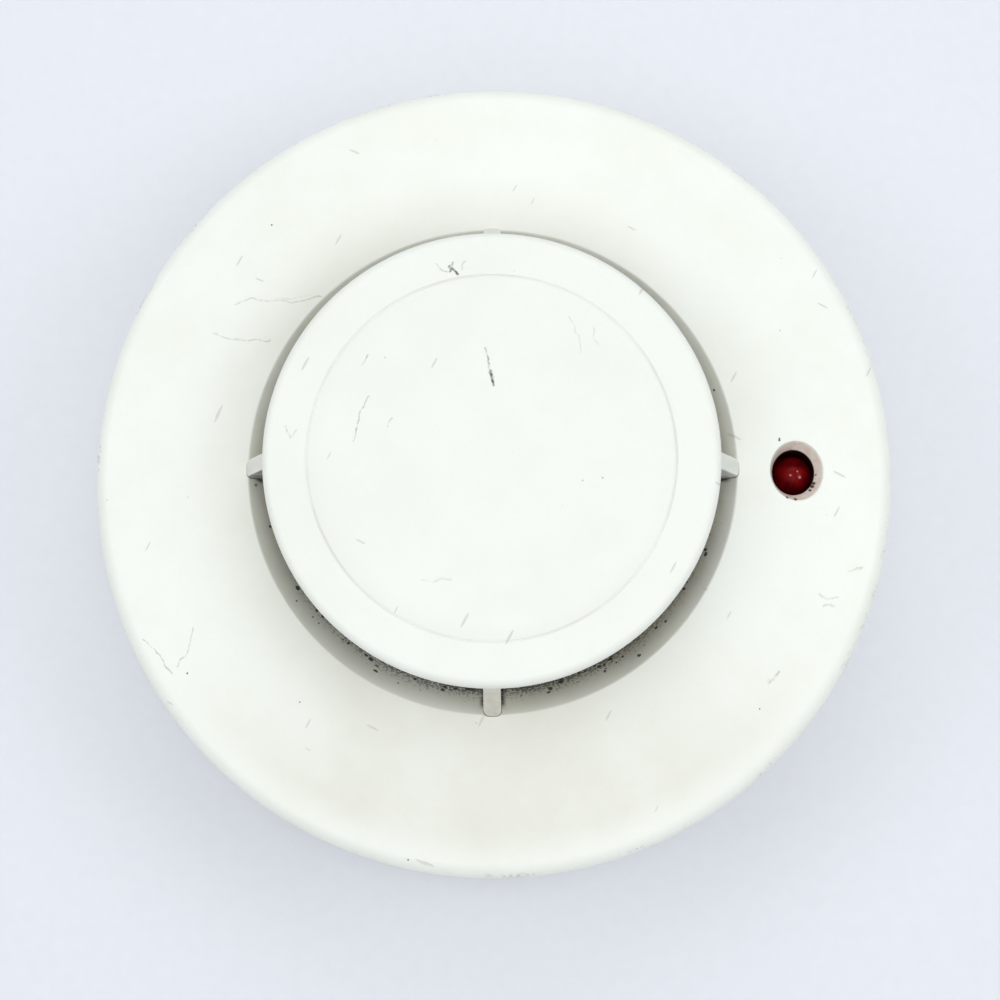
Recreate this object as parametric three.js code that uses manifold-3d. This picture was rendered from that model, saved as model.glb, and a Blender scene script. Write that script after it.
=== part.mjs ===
// Point-type heat detector for a ceiling: a detector head that twists onto a fixed mounting base.
// Millimetres. +Z runs from the ceiling face of the base towards the sensing cap. The origin is the
// centre of that ceiling face, and the indicator lamp is on +X.
import * as THREE from "three";
import { mergeVertices } from "three/addons/utils/BufferGeometryUtils.js";
import Module from "manifold-3d";

const wasm = await Module();
wasm.setup();

// ---------------------------------------------------------------- driving dimensions

const GAP = 0.3; // clearance between pieces that touch
const WALL = 2.2; // thickness of the plastic mouldings

const COVER_RADIUS = 51; // widest ring of the cover
const RIM_HEIGHT = 26.2; // height of that ring above the ceiling face
const EDGE_ROUND = 2.4; // rounding between the cover's side and its face
const SKIRT_BOTTOM = 9.5; // lower edge of the cover's side
const SKIRT_DRAFT = 0.6; // how much narrower the side is at its lower edge

const LIP_RADIUS = 30.8; // opening in the cover round the cap
const LIP_HEIGHT = RIM_HEIGHT + 6.7;
const LIP_ROUND = 0.25;

const FLOOR_TOP = 28.2; // floor of the air chamber
const FLOOR_RADIUS = 26.4; // where the funnel inside the lip meets the floor
const FLOOR_THICKNESS = 1.8;

const CAP_RADIUS = 27.9;
const CAP_TOP = 44;
const CAP_EDGE_ROUND = 1.1;
const CAP_THICKNESS = 2;
const CAP_SIDE = 3.8; // height of the cap's side, its rounded edge included
const CAP_GROOVE_RADIUS = 22.4; // fine ring pressed into the cap's face

const RIB_WIDTH = 2;
const RIB_END_WIDTH = 2.2;
const RIB_END_RADIUS = 30.9; // where a rib ends, in its notch in the lip
const RIB_SCREW_RADIUS = 20; // circle of the screws that hold the cap

const LAMP_RADIUS = 38.3; // distance of the lamp from the centre
const LENS_RADIUS = 2.5; // a 5 mm lamp
const LAMP_TOP = 28.2;

const CHASSIS_BOTTOM = 13;
const CHASSIS_THICKNESS = 2;
const CHASSIS_TOP = CHASSIS_BOTTOM + CHASSIS_THICKNESS;
const CHASSIS_RADIUS = 47.7;
const COVER_SCREW_CIRCLE = 43;
const COVER_SCREW_ANGLE = 20;

const BOARD_BOTTOM = 19;
const BOARD_TOP = 20.6;
const BOARD_RADIUS = 43.2;

const BASE_RADIUS = 50.4;
const BASE_HEIGHT = 9;
const BASE_FLOOR = 2.2;
const SPIGOT_OUTER = 47.6; // ring of the base that the head slides over
const SPIGOT_INNER = 45.9;
const SPIGOT_TOP = 11;
const CABLE_HOLE = 12;
const FIXING_SLOT_WIDTH = 4;
const FIXING_SLOT_REACH = [24, 36]; // nearest and farthest point of a slot from the centre

const CONTACT_CIRCLE = 34; // where head and base touch electrically
const CONTACT_WIDTH = 5;
const TERMINAL_Y = -16.5; // terminal screw, measured along the contact circle's tangent
const BLADE_SCREW_Y = 7.6;
const SHEET = 0.8; // thickness of the contact metal
const LOCK_ANGLE = 242; // anti-removal screw in the base's side
const LOCK_HEIGHT = 6;

const SHANK = 1.3; // self-tapping screws
const SHANK_HOLE = SHANK + GAP;

const FINE = 48; // sides of the large rings
const MEDIUM = 16; // sides of bosses, pillars and the lamp
const SMALL = 8; // sides of screws, pins and their holes

// ---------------------------------------------------------------- materials

function finish(color, roughness, metalness = 0) {
  return new THREE.MeshStandardMaterial({ color, roughness, metalness });
}

const WHITE_PLASTIC = finish(0xf0f5ef, 0.42);
const CAP_PLASTIC = finish(0xf4f9f3, 0.4);
const CHASSIS_PLASTIC = finish(0xe3e4dd, 0.5);
const BRASS = finish(0xc9a75a, 0.35, 1);
const NICKEL = finish(0xc8c6c0, 0.3, 1);
const STEEL = finish(0xb9bcc0, 0.35, 1);
const RUBBER = finish(0x1d1d1f, 0.85);
const BOARD_GREEN = finish(0x1f5b3a, 0.55);
const CHIP_BLACK = finish(0x18191b, 0.6);
const CAN_METAL = finish(0xbfc3c7, 0.3, 1);
const LENS_RED = finish(0x4a0806, 0.15);
const SLEEVE_WHITE = finish(0xe9e6da, 0.7);
const BEAD_EPOXY = finish(0x2a2320, 0.4);
const LABEL_PAPER = finish(0xf3f2ec, 0.8);

// ---------------------------------------------------------------- shapes

const radians = THREE.MathUtils.degToRad;

/** Points of an arc in a profile, as [radius, height], from one angle in degrees to another. */
function arc(centreR, centreZ, radius, from, to, steps) {
  return Array.from({ length: steps + 1 }, (_, i) => {
    const a = radians(from + ((to - from) * i) / steps);
    return [centreR + radius * Math.cos(a), centreZ + radius * Math.sin(a)];
  });
}

/** Turns a profile of [radius, height] points round Z. It runs anticlockwise, up its outer side. */
function turned(profile, sides) {
  const points = profile.map(([r, z]) => new THREE.Vector2(r, z));
  return new THREE.LatheGeometry(points, sides).rotateX(Math.PI / 2);
}

function ring(inner, outer, bottom, top, sides = FINE) {
  const corners = [
    [inner, bottom],
    [outer, bottom],
    [outer, top],
    [inner, top],
    [inner, bottom],
  ];
  return turned(corners, sides);
}

function rod(radius, bottom, top, [x, y] = [0, 0], sides = SMALL) {
  return new THREE.CylinderGeometry(radius, radius, top - bottom, sides)
    .rotateX(Math.PI / 2)
    .translate(x, y, (bottom + top) / 2);
}

function block([x0, x1], [y0, y1], [z0, z1]) {
  return new THREE.BoxGeometry(x1 - x0, y1 - y0, z1 - z0).translate(
    (x0 + x1) / 2,
    (y0 + y1) / 2,
    (z0 + z1) / 2,
  );
}

/** Extrudes an outline of [x, y] points upwards. */
function slab(outline, bottom, top) {
  const shape = new THREE.Shape(outline.map(([x, y]) => new THREE.Vector2(x, y)));
  const options = { depth: top - bottom, bevelEnabled: false };
  return new THREE.ExtrudeGeometry(shape, options).translate(0, 0, bottom);
}

/** Extrudes an outline of [y, z] points along X, centred on x. */
function strip(outline, x, width) {
  const turn = new THREE.Matrix4().makeBasis(
    new THREE.Vector3(0, 1, 0),
    new THREE.Vector3(0, 0, 1),
    new THREE.Vector3(1, 0, 0),
  );
  return slab(outline, -width / 2, width / 2)
    .applyMatrix4(turn)
    .translate(x, 0, 0);
}

/** Extrudes an outline of [x, z] points along Y, centred on the XZ plane. */
function web(outline, width) {
  return slab(outline, -width / 2, width / 2).rotateX(Math.PI / 2);
}

/** A slot with round ends that runs out along +X, as an upright solid. */
function slot([near, far], width, bottom, top) {
  const r = width / 2;
  const ends = [...arc(far - r, 0, r, -90, 90, 6), ...arc(near + r, 0, r, 90, 270, 6)];
  return slab(ends, bottom, top);
}

// ---------------------------------------------------------------- solids

function toSolid(geometry) {
  const bare = geometry.clone();
  bare.deleteAttribute("normal");
  bare.deleteAttribute("uv");
  const welded = mergeVertices(bare, 1e-4);
  return new wasm.Manifold(
    new wasm.Mesh({
      numProp: 3,
      vertProperties: welded.attributes.position.array,
      triVerts: new Uint32Array(welded.index.array),
    }),
  );
}

function toGeometry(solid) {
  const { vertProperties, triVerts } = solid.getMesh();
  const geometry = new THREE.BufferGeometry();
  geometry.setAttribute("position", new THREE.BufferAttribute(vertProperties, 3));
  geometry.setIndex(new THREE.BufferAttribute(triVerts, 1));
  return geometry;
}

/** A body with other geometries joined to it, and then others cut from it. */
function carved(body, { joined = [], cut = [] }) {
  const whole = joined.reduce((solid, g) => solid.add(toSolid(g)), toSolid(body));
  return toGeometry(cut.reduce((solid, g) => solid.subtract(toSolid(g)), whole));
}

function common(a, b) {
  return toGeometry(toSolid(a).intersect(toSolid(b)));
}

function part(name, geometry, material) {
  const mesh = new THREE.Mesh(geometry, material);
  mesh.name = name;
  return mesh;
}

const QUARTERS = [0, 1, 2, 3];

/** Four copies of a geometry, a quarter turn apart, the first at an angle in degrees. */
function quarters(makeGeometry, angle = 0) {
  return QUARTERS.map((i) => makeGeometry().rotateZ(radians(angle + 90 * i)));
}

// ---------------------------------------------------------------- cover of the head

// The face is the straight line that touches both the rim's rounding and the lip's rounding.
const RIM_CENTRE = [COVER_RADIUS - EDGE_ROUND, RIM_HEIGHT];
const LIP_CENTRE = [LIP_RADIUS, LIP_HEIGHT - LIP_ROUND];
const FACE_RUN = RIM_CENTRE[0] - LIP_CENTRE[0];
const FACE_DROP = LIP_CENTRE[1] - RIM_CENTRE[1];
const FACE_SLOPE =
  Math.atan2(FACE_DROP, FACE_RUN) -
  Math.asin((EDGE_ROUND - LIP_ROUND) / Math.hypot(FACE_RUN, FACE_DROP));
const FACE_OUTER_R = RIM_CENTRE[0] + EDGE_ROUND * Math.sin(FACE_SLOPE);
const FACE_OUTER_Z = RIM_CENTRE[1] + EDGE_ROUND * Math.cos(FACE_SLOPE);

function faceHeight(radius) {
  return FACE_OUTER_Z + (FACE_OUTER_R - radius) * Math.tan(FACE_SLOPE);
}

function undersideHeight(radius) {
  return faceHeight(radius) - WALL / Math.cos(FACE_SLOPE);
}

// Inside the lip the funnel starts gently, down to its shelf, and then steepens to the floor's edge.
const SHELF = [LIP_RADIUS - 1.5, LIP_HEIGHT - 0.95];
const SHELF_RUN = LIP_CENTRE[0] - SHELF[0];
const SHELF_RISE = LIP_CENTRE[1] - SHELF[1];
const FUNNEL_SLOPE =
  Math.atan2(SHELF_RISE, SHELF_RUN) + Math.asin(LIP_ROUND / Math.hypot(SHELF_RUN, SHELF_RISE));

const LEDGE_BOTTOM = FLOOR_TOP - 2;
const FLANGE_RADIUS = 28.8; // the floor's flange catches under this ledge

function coverShell() {
  const slope = THREE.MathUtils.radToDeg(FACE_SLOPE);
  const funnel = THREE.MathUtils.radToDeg(FUNNEL_SLOPE);
  const skirt = COVER_RADIUS - SKIRT_DRAFT;
  const corner = 0.4;
  const lipBack = LIP_RADIUS + 1.2;
  const shoulder = COVER_RADIUS - WALL - 0.6;
  return turned(
    [
      [skirt - corner, SKIRT_BOTTOM],
      [skirt, SKIRT_BOTTOM + corner],
      ...arc(...RIM_CENTRE, EDGE_ROUND, 0, 90 - slope, 4),
      ...arc(...LIP_CENTRE, LIP_ROUND, 90 - slope, 90 + funnel, 3),
      SHELF,
      [FLOOR_RADIUS, FLOOR_TOP],
      [FLOOR_RADIUS, LEDGE_BOTTOM],
      [FLANGE_RADIUS, LEDGE_BOTTOM],
      [lipBack, undersideHeight(lipBack)],
      [shoulder, undersideHeight(shoulder)],
      [COVER_RADIUS - WALL, RIM_HEIGHT - 0.8],
      [skirt - WALL, SKIRT_BOTTOM],
      [skirt - corner, SKIRT_BOTTOM],
    ],
    FINE,
  );
}

const LIGHT_HOLE = LENS_RADIUS + GAP;
const LIGHT_TUBE_BOTTOM = 23;
const COUNTERSINK_RADIUS = 3.8;
const COUNTERSINK_DEPTH = 2.5;

function lightTube() {
  const wall = 1.3;
  const top = undersideHeight(LAMP_RADIUS) + 1;
  return rod(LIGHT_HOLE + wall, LIGHT_TUBE_BOTTOM, top, [LAMP_RADIUS, 0], MEDIUM);
}

/** The cut for the lamp: a straight hole that widens to a funnel at the face. */
function lightHole() {
  const face = faceHeight(LAMP_RADIUS);
  const flare = (COUNTERSINK_RADIUS - LIGHT_HOLE) / COUNTERSINK_DEPTH;
  const above = 2;
  const profile = [
    [0, LIGHT_TUBE_BOTTOM - 1],
    [LIGHT_HOLE, LIGHT_TUBE_BOTTOM - 1],
    [LIGHT_HOLE, face - COUNTERSINK_DEPTH],
    [COUNTERSINK_RADIUS + flare * above, face + above],
    [0, face + above],
  ];
  return turned(profile, MEDIUM).translate(LAMP_RADIUS, 0, 0);
}

const COVER_BOSS_RADIUS = 3.2;
const COVER_BOSS_BOTTOM = CHASSIS_TOP + 1.3;
const PILOT_DEPTH = 7;

function outerCover() {
  const bossTop = undersideHeight(COVER_SCREW_CIRCLE) + 0.5;
  const at = [COVER_SCREW_CIRCLE, 0];
  const boss = () => rod(COVER_BOSS_RADIUS, COVER_BOSS_BOTTOM, bossTop, at, MEDIUM);
  const pilot = () => rod(SHANK_HOLE, COVER_BOSS_BOTTOM - 1, COVER_BOSS_BOTTOM + PILOT_DEPTH, at);
  return carved(coverShell(), {
    joined: [lightTube(), ...quarters(boss, COVER_SCREW_ANGLE)],
    cut: [lightHole(), ...quarters(pilot, COVER_SCREW_ANGLE), ...quarters(() => ribShape(GAP))],
  });
}

// ---------------------------------------------------------------- cap with its four ribs

const CAP_UNDERSIDE = CAP_TOP - CAP_THICKNESS;
const CAP_BOTTOM = CAP_TOP - CAP_SIDE;
const CAP_WALL = 1.7;
const RIB_INNER = 16.5;
const RIB_BOTTOM = FLOOR_TOP + GAP;

/** One rib along +X, grown by an allowance on every side for the notch that takes it. */
function ribShape(allowance) {
  const end = RIB_END_RADIUS + allowance;
  const heel = FLOOR_RADIUS - 0.1; // from here a rib's lower edge follows the funnel
  const knee = heel + 1.7;
  const bottom = RIB_BOTTOM - allowance;
  const underCap = CAP_RADIUS - 0.2;
  const root = CAP_UNDERSIDE + 0.2; // a rib reaches a little into the cap that it is one piece with
  const side = web(
    [
      [RIB_INNER, bottom],
      [heel, bottom],
      [knee, bottom + 1.8],
      [end, LIP_HEIGHT - 1 - allowance],
      [end, LIP_HEIGHT + 0.2 + allowance],
      [underCap, CAP_BOTTOM + 1.1 + allowance],
      [underCap, root],
      [RIB_INNER, root],
    ],
    2 * RIB_END_WIDTH,
  );
  const near = RIB_WIDTH / 2 + allowance;
  const far = RIB_END_WIDTH / 2 + allowance;
  const corner = 0.7;
  const plan = slab(
    [
      [RIB_INNER - 1, -near],
      [FLOOR_RADIUS, -near],
      ...arc(end - corner, -far + corner, corner, -90, 0, 3),
      ...arc(end - corner, far - corner, corner, 0, 90, 3),
      [FLOOR_RADIUS, near],
      [RIB_INNER - 1, near],
    ],
    FLOOR_TOP - 3,
    CAP_TOP,
  );
  return common(side, plan);
}

const CAP_BOSS_RADIUS = 2.7;
const CAP_PILOT_TOP = 37;

function sensorCap() {
  const grooveHalf = 0.2;
  const grooveDepth = 0.18;
  const fall = 0.15; // the border outside the groove slopes down a little
  const edge = [CAP_RADIUS - CAP_EDGE_ROUND, CAP_TOP - fall - CAP_EDGE_ROUND];
  const inner = CAP_RADIUS - CAP_WALL;
  const disc = turned(
    [
      [0, CAP_UNDERSIDE],
      [inner - 0.2, CAP_UNDERSIDE],
      [inner, CAP_BOTTOM],
      [CAP_RADIUS - 0.3, CAP_BOTTOM],
      ...arc(...edge, CAP_EDGE_ROUND, 0, 90, 3),
      [CAP_GROOVE_RADIUS + grooveHalf, CAP_TOP],
      [CAP_GROOVE_RADIUS, CAP_TOP - grooveDepth],
      [CAP_GROOVE_RADIUS - grooveHalf, CAP_TOP],
      [0, CAP_TOP],
    ],
    FINE,
  );
  const at = [RIB_SCREW_RADIUS, 0];
  const boss = () => rod(CAP_BOSS_RADIUS, RIB_BOTTOM, CAP_UNDERSIDE + 0.5, at, MEDIUM);
  const pilot = () => rod(SHANK_HOLE, RIB_BOTTOM - 1, CAP_PILOT_TOP, at);
  return carved(disc, {
    joined: [...quarters(() => ribShape(0)), ...quarters(boss)],
    cut: quarters(pilot),
  });
}

// ---------------------------------------------------------------- floor of the air chamber

const TOWER_RADIUS = 3.6; // short tower that carries the thermistor
const TOWER_TOP = 33.4;
const TOWER_BORE = 2.1;

function chamberFloor() {
  const plateBottom = FLOOR_TOP - FLOOR_THICKNESS;
  const flangeTop = LEDGE_BOTTOM - GAP;
  const flangeBottom = flangeTop - 1.5;
  const flange = FLANGE_RADIUS - GAP;
  const plate = FLOOR_RADIUS - GAP;
  const collar = plate - 1.7;
  const foot = 1.2;
  const body = turned(
    [
      [TOWER_BORE, plateBottom],
      [collar, plateBottom],
      [collar, flangeBottom],
      [flange, flangeBottom],
      [flange, flangeTop],
      [plate, flangeTop],
      [plate, FLOOR_TOP],
      [TOWER_RADIUS + foot, FLOOR_TOP],
      [TOWER_RADIUS, FLOOR_TOP + foot],
      [TOWER_RADIUS - 0.2, TOWER_TOP],
      [TOWER_BORE, TOWER_TOP],
      [TOWER_BORE, plateBottom],
    ],
    FINE,
  );
  const hole = () => rod(SHANK_HOLE, plateBottom - 1, FLOOR_TOP + 1, [RIB_SCREW_RADIUS, 0]);
  return carved(body, { cut: quarters(hole) });
}

// ---------------------------------------------------------------- thermistor

const SLEEVE_RADIUS = TOWER_BORE - GAP - 0.1;
const SLEEVE_BORE = 1.05;
const SLEEVE_TOP = TOWER_TOP + 1;
const BEAD_RADIUS = 1.35;
const BEAD_CENTRE = SLEEVE_TOP + 2.2;
const BEAD_BOTTOM = BEAD_CENTRE - 1.3 * BEAD_RADIUS;
const LEAD_RADIUS = 0.25;

function thermistorBead() {
  const drop = [[0, BEAD_BOTTOM], ...arc(0, BEAD_CENTRE, BEAD_RADIUS, -40, 90, 5)];
  drop[drop.length - 1][0] = 0;
  return turned(drop, MEDIUM);
}

function thermistor() {
  const bottom = BOARD_TOP + GAP;
  const apart = 0.55;
  const sleeve = ring(SLEEVE_BORE, SLEEVE_RADIUS, bottom, SLEEVE_TOP, MEDIUM);
  const lead = (x) => rod(LEAD_RADIUS, bottom, BEAD_BOTTOM - GAP, [x, 0]);
  return [
    part("thermistor_bead", thermistorBead(), BEAD_EPOXY),
    part("thermistor_sleeve", sleeve, SLEEVE_WHITE),
    part("thermistor_lead_1", lead(-apart), NICKEL),
    part("thermistor_lead_2", lead(apart), NICKEL),
  ];
}

// ---------------------------------------------------------------- indicator lamp

const LAMP_BOTTOM = BOARD_TOP + GAP;
const LAMP_PITCH = 1.27; // half the distance between its leads
const LAMP_FLANGE_HEIGHT = 1;

function indicatorLamp() {
  const flange = LENS_RADIUS + 0.4;
  const flangeTop = LAMP_BOTTOM + LAMP_FLANGE_HEIGHT;
  const shoulder = LAMP_TOP - LENS_RADIUS;
  const dome = arc(0, shoulder, LENS_RADIUS, 0, 90, 5);
  dome[dome.length - 1][0] = 0;
  const profile = [
    [0, LAMP_BOTTOM],
    [flange, LAMP_BOTTOM],
    [flange, flangeTop],
    [LENS_RADIUS, flangeTop],
    ...dome,
  ];
  return turned(profile, MEDIUM).translate(LAMP_RADIUS, 0, 0);
}

function lampLead(side) {
  const at = [LAMP_RADIUS + side * LAMP_PITCH, 0];
  return rod(LEAD_RADIUS, BOARD_BOTTOM - 1.2, LAMP_BOTTOM - GAP, at);
}

// ---------------------------------------------------------------- circuit board and its components

function circuitBoard() {
  const low = BOARD_BOTTOM - 1;
  const high = BOARD_TOP + 1;
  const notchRadius = COVER_BOSS_RADIUS + 0.7;
  const leadHoleRadius = LEAD_RADIUS + GAP + 0.05;
  const notch = () => rod(notchRadius, low, high, [COVER_SCREW_CIRCLE, 0], MEDIUM);
  const leadHole = (side) =>
    rod(leadHoleRadius, low, high, [LAMP_RADIUS + side * LAMP_PITCH, 0]);
  return carved(rod(BOARD_RADIUS, BOARD_BOTTOM, BOARD_TOP, [0, 0], FINE), {
    cut: [...quarters(notch, COVER_SCREW_ANGLE), leadHole(-1), leadHole(1)],
  });
}

/** A rectangular component that stands on the board. */
function chip(name, [x, y], [length, width, height]) {
  const bottom = BOARD_TOP + GAP;
  const body = block(
    [x - length / 2, x + length / 2],
    [y - width / 2, y + width / 2],
    [bottom, bottom + height],
  );
  return part(name, body, CHIP_BLACK);
}

const CAN_RADIUS = 3.15;
const CAN_HEIGHT = 7;
const CAN_AT = [-33, -10];
const RESISTOR_SIZE = [3.2, 1.6, 0.6];

function components() {
  const can = rod(CAN_RADIUS, BOARD_TOP + GAP, BOARD_TOP + CAN_HEIGHT, CAN_AT, MEDIUM);
  const resistorAt = (i) => [-26 + 5 * i, 26 + 1.5 * i];
  const resistors = [0, 1, 2, 3].map((i) =>
    chip(`resistor_${i + 1}`, resistorAt(i), RESISTOR_SIZE),
  );
  return [
    chip("microcontroller_chip", [-15, 6], [9, 9, 1.4]),
    chip("line_interface_chip", [12, -17], [8.6, 3.9, 1.5]),
    chip("bridge_rectifier", [15, 30], [6.2, 4.7, 2.4]),
    chip("surge_suppressor", [27, 21], [4.6, 3.9, 2.2]),
    part("electrolytic_capacitor", can, CAN_METAL),
    ...resistors,
  ];
}

// ---------------------------------------------------------------- rear chassis of the head

/** A pan-headed screw with its axis on Z and its tip up. */
function screw(headRadius, headBottom, headHeight, tip, shank = SHANK) {
  const neck = headBottom + headHeight;
  const profile = [
    [0, headBottom],
    [headRadius * 0.75, headBottom],
    [headRadius, headBottom + headHeight * 0.45],
    [headRadius, neck],
    [shank, neck],
    [shank, tip - 1],
    [shank * 0.3, tip],
    [0, tip],
  ];
  return turned(profile, SMALL);
}

const BLADE_SCREW_AT = [CONTACT_CIRCLE, BLADE_SCREW_Y];
const CONTACT_ANGLE = 45;
const BLADE_TOP = CHASSIS_BOTTOM - GAP;
const SCREW_RECESS_DEPTH = 1.2;
const SCREW_RECESS_RADIUS = 2.9;
const CHASSIS_BOSS_RADIUS = 4;
const PILLAR_RADIUS = 2.9; // pillars that carry the board
const CHASSIS_RIM_WIDTH = 1.8;

function rearChassis() {
  const at = [COVER_SCREW_CIRCLE, 0];
  const below = CHASSIS_BOTTOM - 1;
  const root = CHASSIS_TOP - 0.5;
  const rimTop = COVER_BOSS_BOTTOM - GAP;
  const recessTop = CHASSIS_BOTTOM + SCREW_RECESS_DEPTH;
  const rim = ring(CHASSIS_RADIUS - CHASSIS_RIM_WIDTH, CHASSIS_RADIUS, root, rimTop);
  const boss = () => rod(CHASSIS_BOSS_RADIUS, root, rimTop, at, MEDIUM);
  const pillar = () => rod(PILLAR_RADIUS, root, BOARD_BOTTOM - GAP, BLADE_SCREW_AT, MEDIUM);
  const coverScrewHole = () => rod(SHANK_HOLE, below, rimTop + 1, at);
  const recess = () => rod(SCREW_RECESS_RADIUS, below, recessTop, at, MEDIUM);
  const bladeScrewHole = () => rod(SHANK_HOLE, below, BOARD_BOTTOM + 1, BLADE_SCREW_AT);
  return carved(rod(CHASSIS_RADIUS, CHASSIS_BOTTOM, CHASSIS_TOP, [0, 0], FINE), {
    joined: [rim, ...quarters(boss, COVER_SCREW_ANGLE), ...quarters(pillar, CONTACT_ANGLE)],
    cut: [
      ...quarters(coverScrewHole, COVER_SCREW_ANGLE),
      ...quarters(recess, COVER_SCREW_ANGLE),
      ...quarters(bladeScrewHole, CONTACT_ANGLE),
    ],
  });
}

// ---------------------------------------------------------------- contact blades of the head

const FOOT_BOTTOM = 4.9;
const FOOT_REACH = [-3.5, 4.3]; // the foot of a blade, along the tangent

/** A strip bent to a Z: it is screwed to the chassis, and its foot slides under the base's spring. */
function contactBlade() {
  const [near, far] = FOOT_REACH;
  const flangeEnd = BLADE_SCREW_Y + 3.4;
  const outline = [
    [near, FOOT_BOTTOM],
    [far, FOOT_BOTTOM],
    [far, BLADE_TOP - SHEET],
    [flangeEnd, BLADE_TOP - SHEET],
    [flangeEnd, BLADE_TOP],
    [far - SHEET, BLADE_TOP],
    [far - SHEET, FOOT_BOTTOM + SHEET],
    [near, FOOT_BOTTOM + SHEET],
  ];
  return carved(strip(outline, CONTACT_CIRCLE, CONTACT_WIDTH), {
    cut: [rod(SHANK_HOLE, BLADE_TOP - 2, BLADE_TOP + 1, BLADE_SCREW_AT)],
  });
}

const SCREW_HEAD = 2.4; // radius of a self-tapping screw's head

function bladeScrew() {
  const headHeight = 1.2;
  const headBottom = BLADE_TOP - SHEET - GAP - headHeight;
  const tip = BOARD_BOTTOM - 0.8;
  return screw(SCREW_HEAD, headBottom, headHeight, tip).translate(...BLADE_SCREW_AT, 0);
}

/** Goes up through the floor of the air chamber into the cap. */
function capScrew() {
  const headHeight = 1.4;
  const headBottom = FLOOR_TOP - FLOOR_THICKNESS - GAP - headHeight;
  const tip = CAP_PILOT_TOP - 1;
  return screw(SCREW_HEAD, headBottom, headHeight, tip).translate(RIB_SCREW_RADIUS, 0, 0);
}

/** Goes up through the chassis into the cover. */
function coverScrew() {
  const headHeight = 1.1;
  const headBottom = CHASSIS_BOTTOM + SCREW_RECESS_DEPTH - GAP - headHeight;
  const tip = COVER_BOSS_BOTTOM + PILOT_DEPTH - 1;
  return screw(SCREW_HEAD, headBottom, headHeight, tip).translate(COVER_SCREW_CIRCLE, 0, 0);
}

// ---------------------------------------------------------------- mounting base

const PEDESTAL_TOP = 3.4;
const PLATE_BOTTOM = PEDESTAL_TOP + GAP;
const SPRING_BOTTOM = PLATE_BOTTOM + SHEET + GAP;
const SPRING_SHEET = 0.5;
const CLAMP_BOTTOM = SPRING_BOTTOM + SPRING_SHEET + GAP;
const TERMINAL_SCREW_AT = [CONTACT_CIRCLE, TERMINAL_Y];
const TERMINAL_SHANK = 1.5;
const LOCK_SHANK = 1.5;
const PEDESTAL_REACH = [TERMINAL_Y - 4, -7.5];
const PEDESTAL_HALF_WIDTH = 3.5;
const LOCK_BOSS_RADIUS = 3.2;
const LOCK_INNER = 40; // how near to the centre the lock screw's boss comes
const CURB_WIDTH = 1.5; // raised edge round the cable hole
const CURB_TOP = BASE_FLOOR + 1.4;

function lockScrewAxis(geometry) {
  return geometry
    .rotateY(Math.PI / 2)
    .translate(0, 0, LOCK_HEIGHT)
    .rotateZ(radians(LOCK_ANGLE));
}

function mountingBase() {
  const corner = 0.5;
  const shell = turned(
    [
      [CABLE_HOLE, 0],
      [BASE_RADIUS - corner, 0],
      [BASE_RADIUS, corner],
      [BASE_RADIUS, BASE_HEIGHT],
      [SPIGOT_OUTER, BASE_HEIGHT],
      [SPIGOT_OUTER, SPIGOT_TOP],
      [SPIGOT_INNER, SPIGOT_TOP],
      [SPIGOT_INNER, BASE_FLOOR],
      [CABLE_HOLE + CURB_WIDTH, BASE_FLOOR],
      [CABLE_HOLE + CURB_WIDTH, CURB_TOP],
      [CABLE_HOLE, CURB_TOP],
      [CABLE_HOLE, 0],
    ],
    FINE,
  );
  const pedestal = () =>
    block(
      [CONTACT_CIRCLE - PEDESTAL_HALF_WIDTH, CONTACT_CIRCLE + PEDESTAL_HALF_WIDTH],
      PEDESTAL_REACH,
      [BASE_FLOOR - 0.5, PEDESTAL_TOP],
    );
  const pedestalHole = () => rod(TERMINAL_SHANK + GAP, 1, PEDESTAL_TOP + 1, TERMINAL_SCREW_AT);
  const fixingSlot = () => slot(FIXING_SLOT_REACH, FIXING_SLOT_WIDTH, -1, BASE_FLOOR + 1);
  const lockBoss = rod(LOCK_BOSS_RADIUS, LOCK_INNER, SPIGOT_INNER + 1, [0, 0], MEDIUM);
  const lockHole = rod(LOCK_SHANK + GAP, LOCK_INNER - 1, BASE_RADIUS + 1);
  return carved(shell, {
    joined: [lockScrewAxis(lockBoss), ...quarters(pedestal, CONTACT_ANGLE)],
    cut: [
      lockScrewAxis(lockHole),
      ...quarters(pedestalHole, CONTACT_ANGLE),
      ...quarters(fixingSlot),
    ],
  });
}

/** A grub screw with a hexagon socket. */
function lockScrew() {
  const outer = BASE_RADIUS - 0.8;
  const socket = rod(0.8, outer - 1.8, outer + 1, [0, 0], 6);
  const body = carved(rod(LOCK_SHANK, LOCK_INNER + 0.6, outer), { cut: [socket] });
  return lockScrewAxis(body);
}

// ---------------------------------------------------------------- terminals of the base

const TERMINAL_TAIL = PEDESTAL_REACH[0] + 0.5; // where the plate and the spring end

function terminalPlate() {
  const halfWidth = PEDESTAL_HALF_WIDTH - 0.5;
  const body = block(
    [CONTACT_CIRCLE - halfWidth, CONTACT_CIRCLE + halfWidth],
    [TERMINAL_TAIL, PEDESTAL_REACH[1]],
    [PLATE_BOTTOM, PLATE_BOTTOM + SHEET],
  );
  return carved(body, {
    cut: [rod(TERMINAL_SHANK + GAP, PLATE_BOTTOM - 1, PLATE_BOTTOM + 2, TERMINAL_SCREW_AT)],
  });
}

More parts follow.
